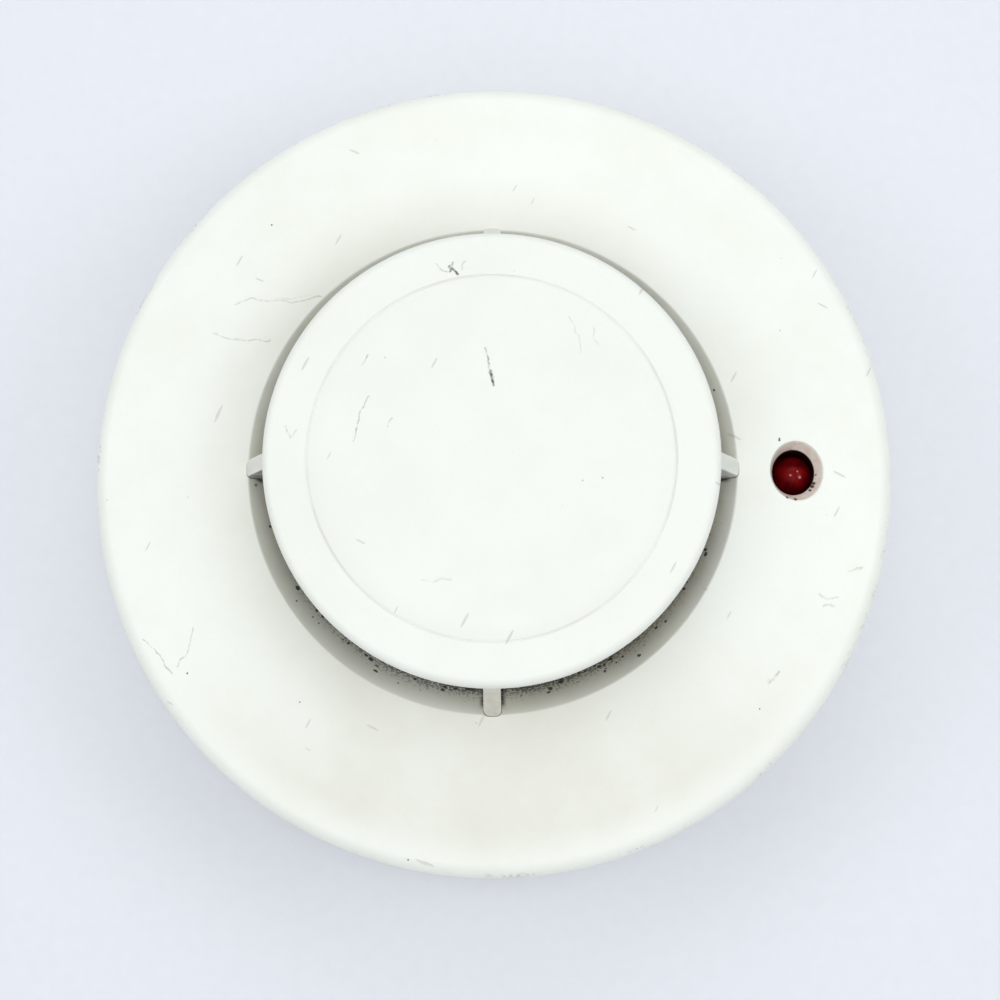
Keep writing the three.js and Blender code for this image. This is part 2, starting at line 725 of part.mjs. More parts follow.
/** A leaf clamped by the terminal screw: it steps up and presses on the blade's foot. */
function contactSpring() {
  const low = SPRING_BOTTOM;
  const high = FOOT_BOTTOM + SHEET + GAP;
  const outline = [
    [TERMINAL_TAIL, low],
    [-8.2, low],
    [-6.7, high],
    [1.6, high],
    [2.8, high + 0.9],
    [2.4, high + 1.3],
    [1.4, high + SPRING_SHEET],
    [-6.9, high + SPRING_SHEET],
    [-8.4, low + SPRING_SHEET],
    [TERMINAL_TAIL, low + SPRING_SHEET],
  ];
  return carved(strip(outline, CONTACT_CIRCLE, CONTACT_WIDTH), {
    cut: [rod(TERMINAL_SHANK + GAP, low - 1, low + 2, TERMINAL_SCREW_AT)],
  });
}

function wireClamp() {
  const half = 2.9;
  const body = block(
    [CONTACT_CIRCLE - half, CONTACT_CIRCLE + half],
    [TERMINAL_Y - half, TERMINAL_Y + half],
    [CLAMP_BOTTOM, CLAMP_BOTTOM + SHEET],
  );
  return carved(body, {
    cut: [rod(TERMINAL_SHANK + GAP, CLAMP_BOTTOM - 1, CLAMP_BOTTOM + 2, TERMINAL_SCREW_AT)],
  });
}

function terminalScrew() {
  const seat = CLAMP_BOTTOM + SHEET + GAP;
  const tip = 1.4; // height of the tip above the ceiling face
  const headRadius = 2.8;
  const headHeight = 1.6;
  return screw(headRadius, -headHeight, headHeight, seat - tip, TERMINAL_SHANK)
    .rotateX(Math.PI)
    .translate(...TERMINAL_SCREW_AT, seat);
}

// ---------------------------------------------------------------- assembly

const LABEL_RADIUS = 15;

/** A group holding pieces that are made along +X and turned to their place. */
function station(angle, ...pieces) {
  const group = new THREE.Group();
  group.rotation.z = radians(angle);
  group.add(...pieces);
  return group;
}

function buildHead() {
  const head = new THREE.Group();
  const seal = ring(SPIGOT_INNER, SPIGOT_OUTER - GAP, SPIGOT_TOP + GAP, BLADE_TOP);
  const label = rod(LABEL_RADIUS, BLADE_TOP - 0.2, BLADE_TOP, [0, 0], FINE);
  head.add(
    part("outer_cover", outerCover(), WHITE_PLASTIC),
    part("sensor_cap", sensorCap(), CAP_PLASTIC),
    part("chamber_floor", chamberFloor(), CHASSIS_PLASTIC),
    ...thermistor(),
    part("indicator_lamp", indicatorLamp(), LENS_RED),
    part("lamp_lead_1", lampLead(-1), NICKEL),
    part("lamp_lead_2", lampLead(1), NICKEL),
    part("main_circuit_board", circuitBoard(), BOARD_GREEN),
    ...components(),
    part("rear_chassis", rearChassis(), CHASSIS_PLASTIC),
    part("seal_ring", seal, RUBBER),
    part("rating_label", label, LABEL_PAPER),
  );
  for (const i of QUARTERS) {
    const quarter = 90 * i;
    const number = i + 1;
    head.add(
      station(quarter, part(`cap_screw_${number}`, capScrew(), STEEL)),
      station(quarter + COVER_SCREW_ANGLE, part(`cover_screw_${number}`, coverScrew(), STEEL)),
      station(
        quarter + CONTACT_ANGLE,
        part(`contact_blade_${number}`, contactBlade(), NICKEL),
        part(`blade_screw_${number}`, bladeScrew(), STEEL),
      ),
    );
  }
  return head;
}

function buildBase() {
  const base = new THREE.Group();
  base.add(
    part("mounting_base", mountingBase(), WHITE_PLASTIC),
    part("lock_screw", lockScrew(), STEEL),
  );
  for (const i of QUARTERS) {
    const number = i + 1;
    base.add(
      station(
        90 * i + CONTACT_ANGLE,
        part(`terminal_plate_${number}`, terminalPlate(), BRASS),
        part(`contact_spring_${number}`, contactSpring(), NICKEL),
        part(`wire_clamp_${number}`, wireClamp(), STEEL),
        part(`terminal_screw_${number}`, terminalScrew(), BRASS),
      ),
    );
  }
  return base;
}

const detector = new THREE.Group();
detector.add(buildHead(), buildBase());
export default detector;
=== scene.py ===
# Looks of a point-type heat detector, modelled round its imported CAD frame.
# Metres, +Z up. The detector lies on its ceiling face, with its cap up and its lamp on +X.
import math

import bmesh
import bpy
from mathutils import Matrix, Vector


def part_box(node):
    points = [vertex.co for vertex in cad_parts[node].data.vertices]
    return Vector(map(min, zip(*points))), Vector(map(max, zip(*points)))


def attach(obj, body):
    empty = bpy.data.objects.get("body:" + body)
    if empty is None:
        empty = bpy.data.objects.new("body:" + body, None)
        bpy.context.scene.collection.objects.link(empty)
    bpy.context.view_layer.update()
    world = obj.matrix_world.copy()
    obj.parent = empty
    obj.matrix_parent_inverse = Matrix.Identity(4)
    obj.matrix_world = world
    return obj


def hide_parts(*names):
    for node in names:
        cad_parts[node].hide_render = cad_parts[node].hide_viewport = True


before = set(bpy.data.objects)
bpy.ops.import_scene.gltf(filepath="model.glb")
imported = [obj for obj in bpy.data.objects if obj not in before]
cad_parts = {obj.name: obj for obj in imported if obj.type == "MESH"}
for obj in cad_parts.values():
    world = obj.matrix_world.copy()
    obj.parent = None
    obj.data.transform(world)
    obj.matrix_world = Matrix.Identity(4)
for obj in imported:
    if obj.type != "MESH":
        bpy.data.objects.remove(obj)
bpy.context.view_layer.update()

MM = 0.001

# ---------------------------------------------------------------- sizes

cover_low, cover_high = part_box("outer_cover")
cap_low, cap_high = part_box("sensor_cap")
floor_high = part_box("chamber_floor")[1]
lamp_low, lamp_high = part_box("indicator_lamp")
base_low, base_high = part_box("mounting_base")
chassis_low, chassis_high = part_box("rear_chassis")
board_low, board_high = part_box("main_circuit_board")
sleeve_low, sleeve_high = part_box("thermistor_sleeve")
bead_low, bead_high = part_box("thermistor_bead")

COVER_RADIUS = cover_high.x
SKIRT_BOTTOM = cover_low.z
LIP_HEIGHT = cover_high.z
WALL = 2.2 * MM
RIM_HEIGHT = LIP_HEIGHT - 6.7 * MM
EDGE_ROUND = 2.4 * MM
SKIRT_DRAFT = 0.6 * MM
LIP_RADIUS = 30.8 * MM
LIP_ROUND = 0.25 * MM

FLOOR_RADIUS = 26.4 * MM
FLOOR_TOP = 28.2 * MM
FLOOR_THICKNESS = 1.8 * MM

CAP_TOP = cap_high.z
CAP_RADIUS = 27.9 * MM
CAP_THICKNESS = 2 * MM
CAP_SIDE = 3.8 * MM
CAP_EDGE_ROUND = 1.1 * MM
CAP_GROOVE_RADIUS = 22.4 * MM
CAP_WALL = 1.7 * MM

RIB_BOTTOM = cap_low.z
RIB_END_RADIUS = cap_high.x
RIB_WIDTH = 2 * MM
RIB_END_WIDTH = 2.2 * MM
RIB_INNER = 16.5 * MM
RIB_EDGE_ROUND = 0.2 * MM
RIB_SCREW_RADIUS = 20 * MM
NOTCH_GAP = 0.06 * MM

LAMP_X = (lamp_low.x + lamp_high.x) / 2
LIGHT_HOLE_X = LAMP_X - 0.15 * MM
LENS_RADIUS = 2.5 * MM
LIGHT_HOLE = 2.64 * MM
LIGHT_HOLE_STRETCH = 1.08  # the lamp's hole is a little longer along Y
LIGHT_HOLE_BOTTOM = 20 * MM
LIGHT_TUBE_WALL = 1.3 * MM
LIGHT_TUBE_BOTTOM = 23 * MM
FUNNEL_MOUTH = 3.8 * MM
FUNNEL_DEPTH = 2.5 * MM

GAP = 0.3 * MM
OVERLAP = 1 * MM  # how far a tool reaches past the face that it cuts or joins
SUNK = 0.5 * MM  # how far a boss is sunk into the wall that carries it
SEGMENTS = 288  # round the large rings
QUARTER_TURNS = range(4)
SMALL_CRISP = 35  # degrees: edges of small parts sharper than this stay crisp
UPRIGHT = Matrix.Rotation(math.pi / 2, 4, "X")  # stands an outline drawn in (x, y) up along Z


# ---------------------------------------------------------------- mesh helpers


def arc(centre, radius, start, end, steps):
    """Points of an arc as (radius, height), from one angle in degrees to another."""
    angles = [math.radians(start + (end - start) * i / steps) for i in range(steps + 1)]
    return [(centre[0] + radius * math.cos(a), centre[1] + radius * math.sin(a)) for a in angles]


def outer_top(radius, height, soft, steps):
    """The rounding of a profile's outer top corner. The three below do the other corners."""
    return arc((radius - soft, height - soft), soft, 0, 90, steps)


def inner_top(radius, height, soft, steps):
    return arc((radius + soft, height - soft), soft, 90, 180, steps)


def inner_bottom(radius, height, soft, steps):
    return arc((radius + soft, height + soft), soft, 180, 270, steps)


def outer_bottom(radius, height, soft, steps):
    return arc((radius - soft, height + soft), soft, -90, 0, steps)


def divided(start, end, steps):
    """Points along a straight line, both ends left out."""
    shares = [i / steps for i in range(1, steps)]
    return [(start[0] + (end[0] - start[0]) * s, start[1] + (end[1] - start[1]) * s) for s in shares]


def bend(start, towards, end, steps):
    """Points of a smooth bend that leaves its start towards a point, both ends left out."""
    first = divided(start, towards, steps)
    second = divided(towards, end, steps)
    shares = [i / steps for i in range(1, steps)]
    return [
        (a[0] + (b[0] - a[0]) * s, a[1] + (b[1] - a[1]) * s) for a, b, s in zip(first, second, shares)
    ]


def to_object(name, bm):
    """Makes a scene object of a closed bmesh, with its faces pointing out."""
    bmesh.ops.recalc_face_normals(bm, faces=bm.faces)
    mesh = bpy.data.meshes.new(name)
    bm.to_mesh(mesh)
    bm.free()
    piece = bpy.data.objects.new(name, mesh)
    bpy.context.scene.collection.objects.link(piece)
    return piece


def turned(name, profile, segments=SEGMENTS):
    """Turns a profile of (radius, height) points round Z. It ends on the axis or closes on itself."""
    bm = bmesh.new()
    turns = [2 * math.pi * i / segments for i in range(segments)]
    rings = []
    for radius, height in profile:
        if radius < 1e-9:
            rings.append([bm.verts.new((0, 0, height))])
        else:
            rings.append(
                [bm.verts.new((radius * math.cos(t), radius * math.sin(t), height)) for t in turns]
            )
    for ring, following in zip(rings, rings[1:] + rings[:1]):
        for i in range(segments):
            j = (i + 1) % segments
            corners = [ring[i % len(ring)], ring[j % len(ring)]]
            corners += [following[j % len(following)], following[i % len(following)]]
            corners = list(dict.fromkeys(corners))
            if len(corners) > 2:
                bm.faces.new(corners)
    return to_object(name, bm)


def extruded(name, outline, low, high, turn=None):
    """Extrudes an outline of (x, y) points along Z, and then turns it by a matrix."""
    bm = bmesh.new()
    bottom = [bm.verts.new((x, y, low)) for x, y in outline]
    top = [bm.verts.new((x, y, high)) for x, y in outline]
    bm.faces.new(bottom[::-1])
    bm.faces.new(top)
    for i in range(len(outline)):
        j = (i + 1) % len(outline)
        bm.faces.new((bottom[i], bottom[j], top[j], top[i]))
    if turn:
        bm.transform(turn)
    return to_object(name, bm)


def rod(radius, low, high, at=(0, 0), segments=48):
    """An upright cylinder with softened ends."""
    soft = min(radius, high - low) * 0.08
    profile = [(0, low), (radius - soft, low), (radius, low + soft)]
    profile += [(radius, high - soft), (radius - soft, high), (0, high)]
    piece = turned("rod", profile, segments)
    return moved(piece, *at)


def about_z(degrees):
    return Matrix.Rotation(math.radians(degrees), 4, "Z")


def moved(piece, x, y, z=0):
    piece.data.transform(Matrix.Translation((x, y, z)))
    return piece


def quarters(make, angle=0):
    """Four copies of what a function makes, a quarter turn apart, the first at an angle in degrees."""
    copies = []
    for i in QUARTER_TURNS:
        copy = make()
        copy.data.transform(about_z(angle + 90 * i))
        copies.append(copy)
    return copies


def four_rods(radius, low, high, at, angle=0):
    """Upright cylinders a quarter turn apart, the first turned by an angle in degrees."""
    return quarters(lambda: rod(radius, low, high, at), angle)


def merged(objects):
    """One object that holds the meshes of several, which are removed."""
    bm = bmesh.new()
    for o in objects:
        bm.from_mesh(o.data)
        bpy.data.objects.remove(o)
    return to_object("merged", bm)


def combine(body, tools, operation):
    """Joins tools to a body, cuts them from it or keeps what they share. The tools are removed."""
    tool = merged(tools)
    modifier = body.modifiers.new("combine", "BOOLEAN")
    modifier.operation = operation
    modifier.solver = "MANIFOLD"
    modifier.object = tool
    depsgraph = bpy.context.evaluated_depsgraph_get()
    mesh = bpy.data.meshes.new_from_object(body.evaluated_get(depsgraph))
    body.modifiers.clear()
    body.data = mesh
    bpy.data.objects.remove(tool)
    return body


def carved(body, joined=(), cut=()):
    """Joins some tools to a body, and then cuts others from it."""
    if joined:
        combine(body, joined, "UNION")
    if cut:
        combine(body, cut, "DIFFERENCE")
    return body


def bevelled(piece, width, sharper_than=30, segments=3):
    """Rounds the edges of a piece that are sharper than an angle in degrees."""
    bm = bmesh.new()
    bm.from_mesh(piece.data)
    bmesh.ops.remove_doubles(bm, verts=bm.verts, dist=0.001 * MM)
    bmesh.ops.dissolve_limit(
        bm, angle_limit=math.radians(1), verts=bm.verts, edges=bm.edges, delimit={"NORMAL"}
    )
    limit = math.radians(sharper_than)
    edges = [e for e in bm.edges if e.is_manifold and e.calc_face_angle() > limit]
    bmesh.ops.bevel(
        bm,
        geom=edges,
        offset=width,
        offset_type="OFFSET",
        segments=segments,
        profile=0.5,
        affect="EDGES",
        clamp_overlap=True,
    )
    bm.to_mesh(piece.data)
    bm.free()
    return piece


def copied(node):
    """A copy of a CAD piece's mesh, as an object of its own."""
    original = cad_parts[node]
    piece = bpy.data.objects.new(node, original.data.copy())
    piece.data.transform(original.matrix_world)
    bpy.context.scene.collection.objects.link(piece)
    return piece


def place(piece, name, body, finish, *nodes, slot=None, crisp=24):
    """Names a finished piece, gives it its body and its finish, and hides the CAD nodes that it stands
    for.

    It is shaded smooth, with edges sharper than an angle in degrees left crisp."""
    piece.name = name
    piece.data.name = name
    piece.data.polygons.foreach_set("use_smooth", [True] * len(piece.data.polygons))
    piece.data.set_sharp_from_angle(angle=math.radians(crisp))
    piece.data.materials.clear()
    piece.data.materials.append(MATERIALS[finish])
    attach(piece, body)
    if nodes:
        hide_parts(*nodes)
    return piece


# ---------------------------------------------------------------- material helpers


class Shader:
    """Builds one material's nodes. A socket and a plain number both serve as an input."""

    def __init__(self, name):
        self.material = bpy.data.materials.new(name)
        self.material.use_nodes = True
        self.tree = self.material.node_tree
        self.surface = self.tree.nodes["Principled BSDF"]
        self.place = self.node("ShaderNodeTexCoord").outputs["Object"]
        self.unsteady = None

    def node(self, kind, **settings):
        made = self.tree.nodes.new(kind)
        for key, value in settings.items():
            setattr(made, key, value)
        return made

    def feed(self, socket, value):
        if isinstance(value, bpy.types.NodeSocket):
            self.tree.links.new(value, socket)
        else:
            socket.default_value = value

    def math(self, operation, a, b=0.0, clamp=False):
        made = self.node("ShaderNodeMath", operation=operation, use_clamp=clamp)
        self.feed(made.inputs[0], a)
        self.feed(made.inputs[1], b)
        return made.outputs[0]

    def vector(self, operation, *values):
        made = self.node("ShaderNodeVectorMath", operation=operation)
        for socket, value in zip(made.inputs, values):
            self.feed(socket, value)
        scalar = operation in ("DOT_PRODUCT", "LENGTH", "DISTANCE")
        return made.outputs["Value" if scalar else "Vector"]

    def part_of(self, axis):
        split = self.node("ShaderNodeSeparateXYZ")
        self.feed(split.inputs[0], self.place)
        return split.outputs[axis]

    def flat_place(self):
        return self.vector("MULTIPLY", self.place, (1, 1, 0))

    def radius(self):
        """Distance from the Z axis."""
        return self.vector("LENGTH", self.flat_place())

    def product(self, *values):
        result = values[0]
        for value in values[1:]:
            result = self.math("MULTIPLY", result, value)
        return result

    def shaky_place(self):
        """The place in the XY plane, shaken a little so that a line through it looks drawn by hand."""
        if self.unsteady is None:
            shake = self.node("ShaderNodeTexNoise")
            self.feed(shake.inputs["Vector"], self.place)
            self.feed(shake.inputs["Scale"], 1 / (2.2 * MM))
            self.feed(shake.inputs["Detail"], 3.0)
            moved = self.vector("SUBTRACT", shake.outputs["Color"], (0.5, 0.5, 0.5))
            moved = self.vector("MULTIPLY", moved, (1.6 * MM, 1.6 * MM, 0))
            self.unsteady = self.vector("ADD", self.flat_place(), moved)
        return self.unsteady

    def fade(self, value, low, high, at_low=0.0, at_high=1.0):
        """Goes smoothly from one value to another as a socket goes from low to high."""
        made = self.node("ShaderNodeMapRange", interpolation_type="SMOOTHSTEP")
        for socket, number in zip(made.inputs, (value, low, high, at_low, at_high)):
            self.feed(socket, number)
        return made.outputs[0]

    def noise(self, size, detail=3.0, roughness=0.5):
        """Noise from 0 to 1 whose features are about a size across."""
        made = self.node("ShaderNodeTexNoise")
        self.feed(made.inputs["Vector"], self.place)
        self.feed(made.inputs["Scale"], 1 / size)
        self.feed(made.inputs["Detail"], detail)
        self.feed(made.inputs["Roughness"], roughness)
        return made.outputs[0]

    def stretched_place(self, angle, stretch):
        """The place with what lies on it drawn out in a direction, given in degrees from +Y."""
        turn = self.node("ShaderNodeVectorRotate", rotation_type="Z_AXIS")
        self.feed(turn.inputs["Vector"], self.flat_place())
        self.feed(turn.inputs["Angle"], math.radians(-angle))
        return self.vector("MULTIPLY", turn.outputs[0], (1, 1 / stretch, 1))

    def dots(self, spacing, radius, share, place=None):
        """Round specks: a share of the cells of a given spacing holds one each. The share may be a
        socket."""
        made = self.node("ShaderNodeTexVoronoi")
        self.feed(made.inputs["Vector"], place or self.place)
        self.feed(made.inputs["Scale"], 1 / spacing)
        split = self.node("ShaderNodeSeparateColor")
        self.feed(split.inputs[0], made.outputs["Color"])
        chosen = self.math("LESS_THAN", split.outputs[0], share)
        size = self.math("MULTIPLY", split.outputs[1], radius / spacing)
        inside = self.math("SUBTRACT", size, made.outputs["Distance"])
        edge = self.math("MULTIPLY", inside, 6 * spacing / radius, clamp=True)
        return self.math("MULTIPLY", edge, chosen)

    def stroke(self, points, width, strength):
        """A scratch along a line of (x, y) points in millimetres."""
        here = self.shaky_place()
        nearest = None
        for start, end in zip(points, points[1:]):
            a = Vector((start[0], start[1], 0)) * MM
            run = Vector((end[0], end[1], 0)) * MM - a
            offset = self.vector("SUBTRACT", here, a)
            share = self.vector("DOT_PRODUCT", offset, run / run.length_squared)
            share = self.math("ADD", share, 0.0, clamp=True)
            beside = self.vector("MULTIPLY_ADD", share, -run, offset)
            distance = self.vector("LENGTH", beside)
            nearest = distance if nearest is None else self.math("MINIMUM", nearest, distance)
        return self.fade(nearest, width / 4, width, strength, 0.0)

    def spot(self, x, y, radius, strength):
        """A small round mark at a place in millimetres."""
        distance = self.vector("DISTANCE", self.flat_place(), Vector((x, y, 0)) * MM)
        return self.fade(distance, radius / 3, radius, strength, 0.0)

    def most(self, values):
        """The largest of several values."""
        result = values[0]
        for value in values[1:]:
            result = self.math("MAXIMUM", result, value)
        return result

    def mix(self, factor, a, b):
        made = self.node("ShaderNodeMix", data_type="RGBA")
        self.feed(made.inputs["Factor"], factor)
        self.feed(made.inputs["A"], a)
        self.feed(made.inputs["B"], b)
        return made.outputs["Result"]

    def bump(self, height, distance, strength=1.0):
        made = self.node("ShaderNodeBump")
        made.inputs["Strength"].default_value = strength
        made.inputs["Distance"].default_value = distance
        self.feed(made.inputs["Height"], height)
        self.feed(self.surface.inputs["Normal"], made.outputs[0])

    def finish(self, color, roughness, **fixed):
        """Feeds the surface. The fixed values go straight to the shader's own sockets."""
        self.feed(self.surface.inputs["Base Color"], color)
        self.feed(self.surface.inputs["Roughness"], roughness)
        for key, value in fixed.items():
            self.surface.inputs[key.replace("_", " ")].default_value = value
        return self.material


def rgb(red, green, blue):
    """A colour given by its sRGB values from 0 to 255."""
    linear = [((v / 255 + 0.055) / 1.055) ** 2.4 for v in (red, green, blue)]
    return (*linear, 1.0)


# ---------------------------------------------------------------- plastics

# The cap's whites are set a little darker than the cover's: painted shade that evens out the stronger
# light on the cap's flat top.
COVER_WHITE = rgb(243, 247, 241)
COVER_AGED = rgb(239, 243, 235)
CAP_WHITE = rgb(238, 242, 236)
CAP_AGED = rgb(235, 239, 232)
BASE_WHITE = rgb(234, 237, 230)
BASE_AGED = rgb(229, 232, 223)
# The soot, grime and dust colours serve for real dirt and also for painted shade in the layers below.
SOOT_AND_SHADE = rgb(24, 21, 16)
GRIME_AND_SHADE = rgb(138, 131, 110)
DUST_AND_SHADE = rgb(206, 198, 178)
SCRATCH = rgb(62, 60, 54)
LAMP_TINT = rgb(230, 208, 196)
LENS_HIGHLIGHT_PINK = rgb(220, 150, 146)
HOLE_PAINTED_SHADE = rgb(14, 9, 9)

PAINTED_LIGHT_AT = Vector((-10, -29, 0)) * MM  # where the film inside the lip is thinned out, as painted light

# Marks on the cover, as lines of (x, y) in millimetres, each with its width and strength.
COVER_MARKS = [
    ([(-33.0, 21.6), (-30.6, 22.3), (-27.6, 21.7), (-24.8, 21.5), (-21.8, 22.2)], 0.16, 0.28),
    ([(-29.5, 22.2), (-26.2, 21.9), (-23.0, 22.4)], 0.12, 0.16),
    ([(-36.0, 17.8), (-32.4, 17.1), (-30.4, 16.6), (-28.2, 16.6)], 0.16, 0.30),
    ([(-44.4, -21.0), (-42.2, -23.0), (-40.3, -25.4)], 0.14, 0.42),
    ([(-39.9, -24.7), (-38.5, -22.7), (-37.7, -19.8)], 0.13, 0.36),
    ([(41.2, -15.8), (42.4, -16.4), (43.6, -16.1)], 0.2, 0.26),
    ([(41.6, -17.0), (43.0, -17.1)], 0.2, 0.22),
    ([(44.8, -12.6), (46.4, -12.1)], 0.22, 0.24),
    ([(35.9, -25.2), (34.6, -26.8)], 0.18, 0.4),
    ([(34.2, -26.4), (35.0, -26.6)], 0.14, 0.3),
]
# Specks on the cover: x, y, radius in millimetres.
COVER_SPECKS = [
    (-38.5, -25.4, 0.17),
    (-10.6, -48.6, 0.16),
    (-28.5, 32.2, 0.16),
    (-24.1, -29.1, 0.13),
    (36.2, 3.8, 0.2),
    (36.2, 4.0, 0.18),
    (33.4, -29.9, 0.13),
    (-29.8, -1.9, 0.24),
]
# Dirt caught in the lamp's funnel.
FUNNEL_DIRT = [
    (39.3, 2.2, 0.28),
    (39.5, 1.6, 0.24),
    (41.0, -0.3, 0.15),
    (40.7, -1.4, 0.32),
    (40.5, -1.8, 0.34),
    (40.2, -2.3, 0.26),
    (37.1, -3.4, 0.26),
    (38.2, -3.6, 0.3),
]
# Painted highlights on the lamp's dome: small pink spots.
LENS_HIGHLIGHTS = [
    (38.8, 0.3, 0.16),
    (37.9, -0.2, 0.2),
    (39.1, -0.45, 0.26),
]
# Marks on the cap, in the same form as the cover's.
CAP_MARKS = [
    ([(-5.3, 23.6), (-4.3, 22.6)], 0.32, 0.95),
    ([(-4.9, 23.9), (-5.3, 22.9)], 0.28, 0.9),
    ([(-6.7, 24.1), (-5.6, 22.8)], 0.16, 0.4),
    ([(-3.2, 24.1), (-3.7, 23.2)], 0.14, 0.25),
    ([(-0.8, 13.2), (-0.3, 11.4), (0.2, 8.9)], 0.17, 0.6),
    ([(-0.1, 10.6), (0.3, 8.8)], 0.3, 0.95),
    ([(-15.0, 12.4), (-15.8, 11.3)], 0.15, 0.42),
    ([(-15.0, 7.5), (-16.0, 4.9), (-16.7, 2.0)], 0.13, 0.5),
    ([(-12.0, 4.7), (-12.7, 3.8)], 0.14, 0.3),
    ([(9.4, 17.4), (10.6, 15.0), (10.9, 12.6)], 0.1, 0.24),
    ([(12.4, 16.2), (13.1, 13.4)], 0.1, 0.2),
    ([(-8.4, -14.8), (-6.6, -15.1), (-4.6, -14.9)], 0.14, 0.16),
    ([(-24.9, 3.8), (-24.4, 2.5), (-23.7, 3.4)], 0.14, 0.26),
]


def worn_plastic(shader, fresh, aged):
    """Colour, grain and gloss of white moulded plastic that has yellowed a little."""
    patches = shader.fade(shader.noise(14 * MM, 4, 0.6), 0.35, 0.7)
    grain = shader.noise(0.5 * MM, 2, 0.6)
    color = shader.mix(patches, fresh, aged)
    color = shader.mix(shader.product(grain, 0.04), color, GRIME_AND_SHADE)
    shader.bump(shader.noise(0.35 * MM, 3, 0.6), 0.004 * MM, 0.6)
    roughness = shader.fade(shader.noise(5 * MM, 5, 0.7), 0.3, 0.7, 0.34, 0.46)
    return color, roughness


def marked(shader, color, marks, specks=()):
    """Lays scratches and specks over a colour."""
    lines = [shader.stroke(points, width * MM, strength) for points, width, strength in marks]
    spots = [shader.spot(x, y, radius * MM, 0.95) for x, y, radius in specks]
    broken = shader.fade(shader.noise(0.7 * MM, 3, 0.7), 0.36, 0.6, 0.25, 1.0)
    color = shader.mix(shader.product(shader.most(lines), broken), color, SCRATCH)
    if spots:
        color = shader.mix(shader.most(spots), color, SOOT_AND_SHADE)
    return color


def scattered_marks(shader, color):
    """Fine specks all over, a few larger ones, and short scratches that run two ways."""
    fine = shader.product(shader.dots(2.6 * MM, 0.16 * MM, 0.3), 0.35)
    bold = shader.product(shader.dots(7 * MM, 0.2 * MM, 0.12), 0.7)
    marks = [fine, bold]
    for angle, spacing in ((-28, 1.5 * MM), (64, 2.1 * MM)):
        drawn = shader.stretched_place(angle, 6)
        scratches = shader.dots(spacing, 0.2 * MM, 0.4, drawn)
        marks.append(shader.product(scratches, 0.22))
    return shader.mix(shader.most(marks), color, SCRATCH)


def plastic(name, fresh, aged, layers=()):
    """Worn plastic with layers of marks and dirt, each laid over the ones before it."""
    shader = Shader(name)
    color, roughness = worn_plastic(shader, fresh, aged)
    for layer in layers:
        color = layer(shader, color)
    return shader.finish(color, roughness)


def cover_plastic():
    layers = [scattered_marks, cover_painted_shade, lamp_tint_and_hole_shade, rim_grime, cover_marks, chamber_soot_and_shade]
    return plastic("cover_plastic", COVER_WHITE, COVER_AGED, layers)


def cover_marks(shader, color):
    return marked(shader, color, COVER_MARKS, COVER_SPECKS + FUNNEL_DIRT)


def lamp_tint_and_hole_shade(shader, color):
    """A warm, darker pinkish tint in the lamp's funnel. The hole below it is painted black as shade.
    """
    stretched = shader.vector("MULTIPLY", shader.place, (1, 1 / LIGHT_HOLE_STRETCH, 0))
    distance = shader.vector("DISTANCE", stretched, Vector((LIGHT_HOLE_X, 0, 0)))
    below = shader.fade(shader.part_of("Z"), LAMP_FACE - 0.7 * MM, LAMP_FACE + 0.5 * MM, 1.0, 0.0)
    blotches = shader.fade(shader.noise(0.9 * MM, 4, 0.7), 0.3, 0.7, 0.35, 1.0)
    inside = shader.fade(distance, FUNNEL_MOUTH - 0.5 * MM, FUNNEL_MOUTH + 0.1 * MM, 1.0, 0.0)
    color = shader.mix(shader.product(inside, below, blotches), color, LAMP_TINT)
    # Painted shade: the lamp's hole is coloured black.
    hole = shader.fade(distance, LIGHT_HOLE + 0.02 * MM, LIGHT_HOLE + 0.1 * MM, 1.0, 0.0)
    return shader.mix(hole, color, HOLE_PAINTED_SHADE)


def rim_grime(shader, color):
    """Fine dirt rubbed into the outermost edge, in patches."""
    edge = shader.fade(shader.radius(), COVER_RADIUS - 0.9 * MM, COVER_RADIUS - 0.1 * MM)
    upper = shader.fade(shader.part_of("Z"), RIM_HEIGHT - 2 * MM, RIM_HEIGHT)
    patches = shader.fade(shader.noise(9 * MM, 4, 0.7), 0.5, 0.68, 0.0, 0.6)
    flecks = shader.fade(shader.noise(0.5 * MM, 3, 0.7), 0.45, 0.62)
    return shader.mix(shader.product(edge, upper, patches, flecks), color, GRIME_AND_SHADE)


def cover_painted_shade(shader, color):
    """Painted shade, a faint warm darkening round the opening, where the cap shades it, and on the
    side at -Y, stronger towards -X; none on the outermost edge.
    """
    radius = shader.radius()
    near_lip = shader.fade(radius, LIP_RADIUS, LIP_RADIUS + 9 * MM, 0.24, 0.0)
    left = shader.fade(shader.part_of("X"), 0.0, 30 * MM, 1.0, 0.3)
    front = shader.fade(shader.part_of("Y"), -46 * MM, -18 * MM, 0.36, 0.0)
    inside_edge = shader.fade(radius, COVER_RADIUS - 6 * MM, COVER_RADIUS - 1 * MM, 1.0, 0.0)
    cloud = shader.fade(shader.noise(12 * MM, 4, 0.6), 0.3, 0.7, 0.6, 1.0)
    shade_amount = shader.math("ADD", shader.product(near_lip, left), front)
    return shader.mix(shader.product(shade_amount, inside_edge, cloud), color, DUST_AND_SHADE)


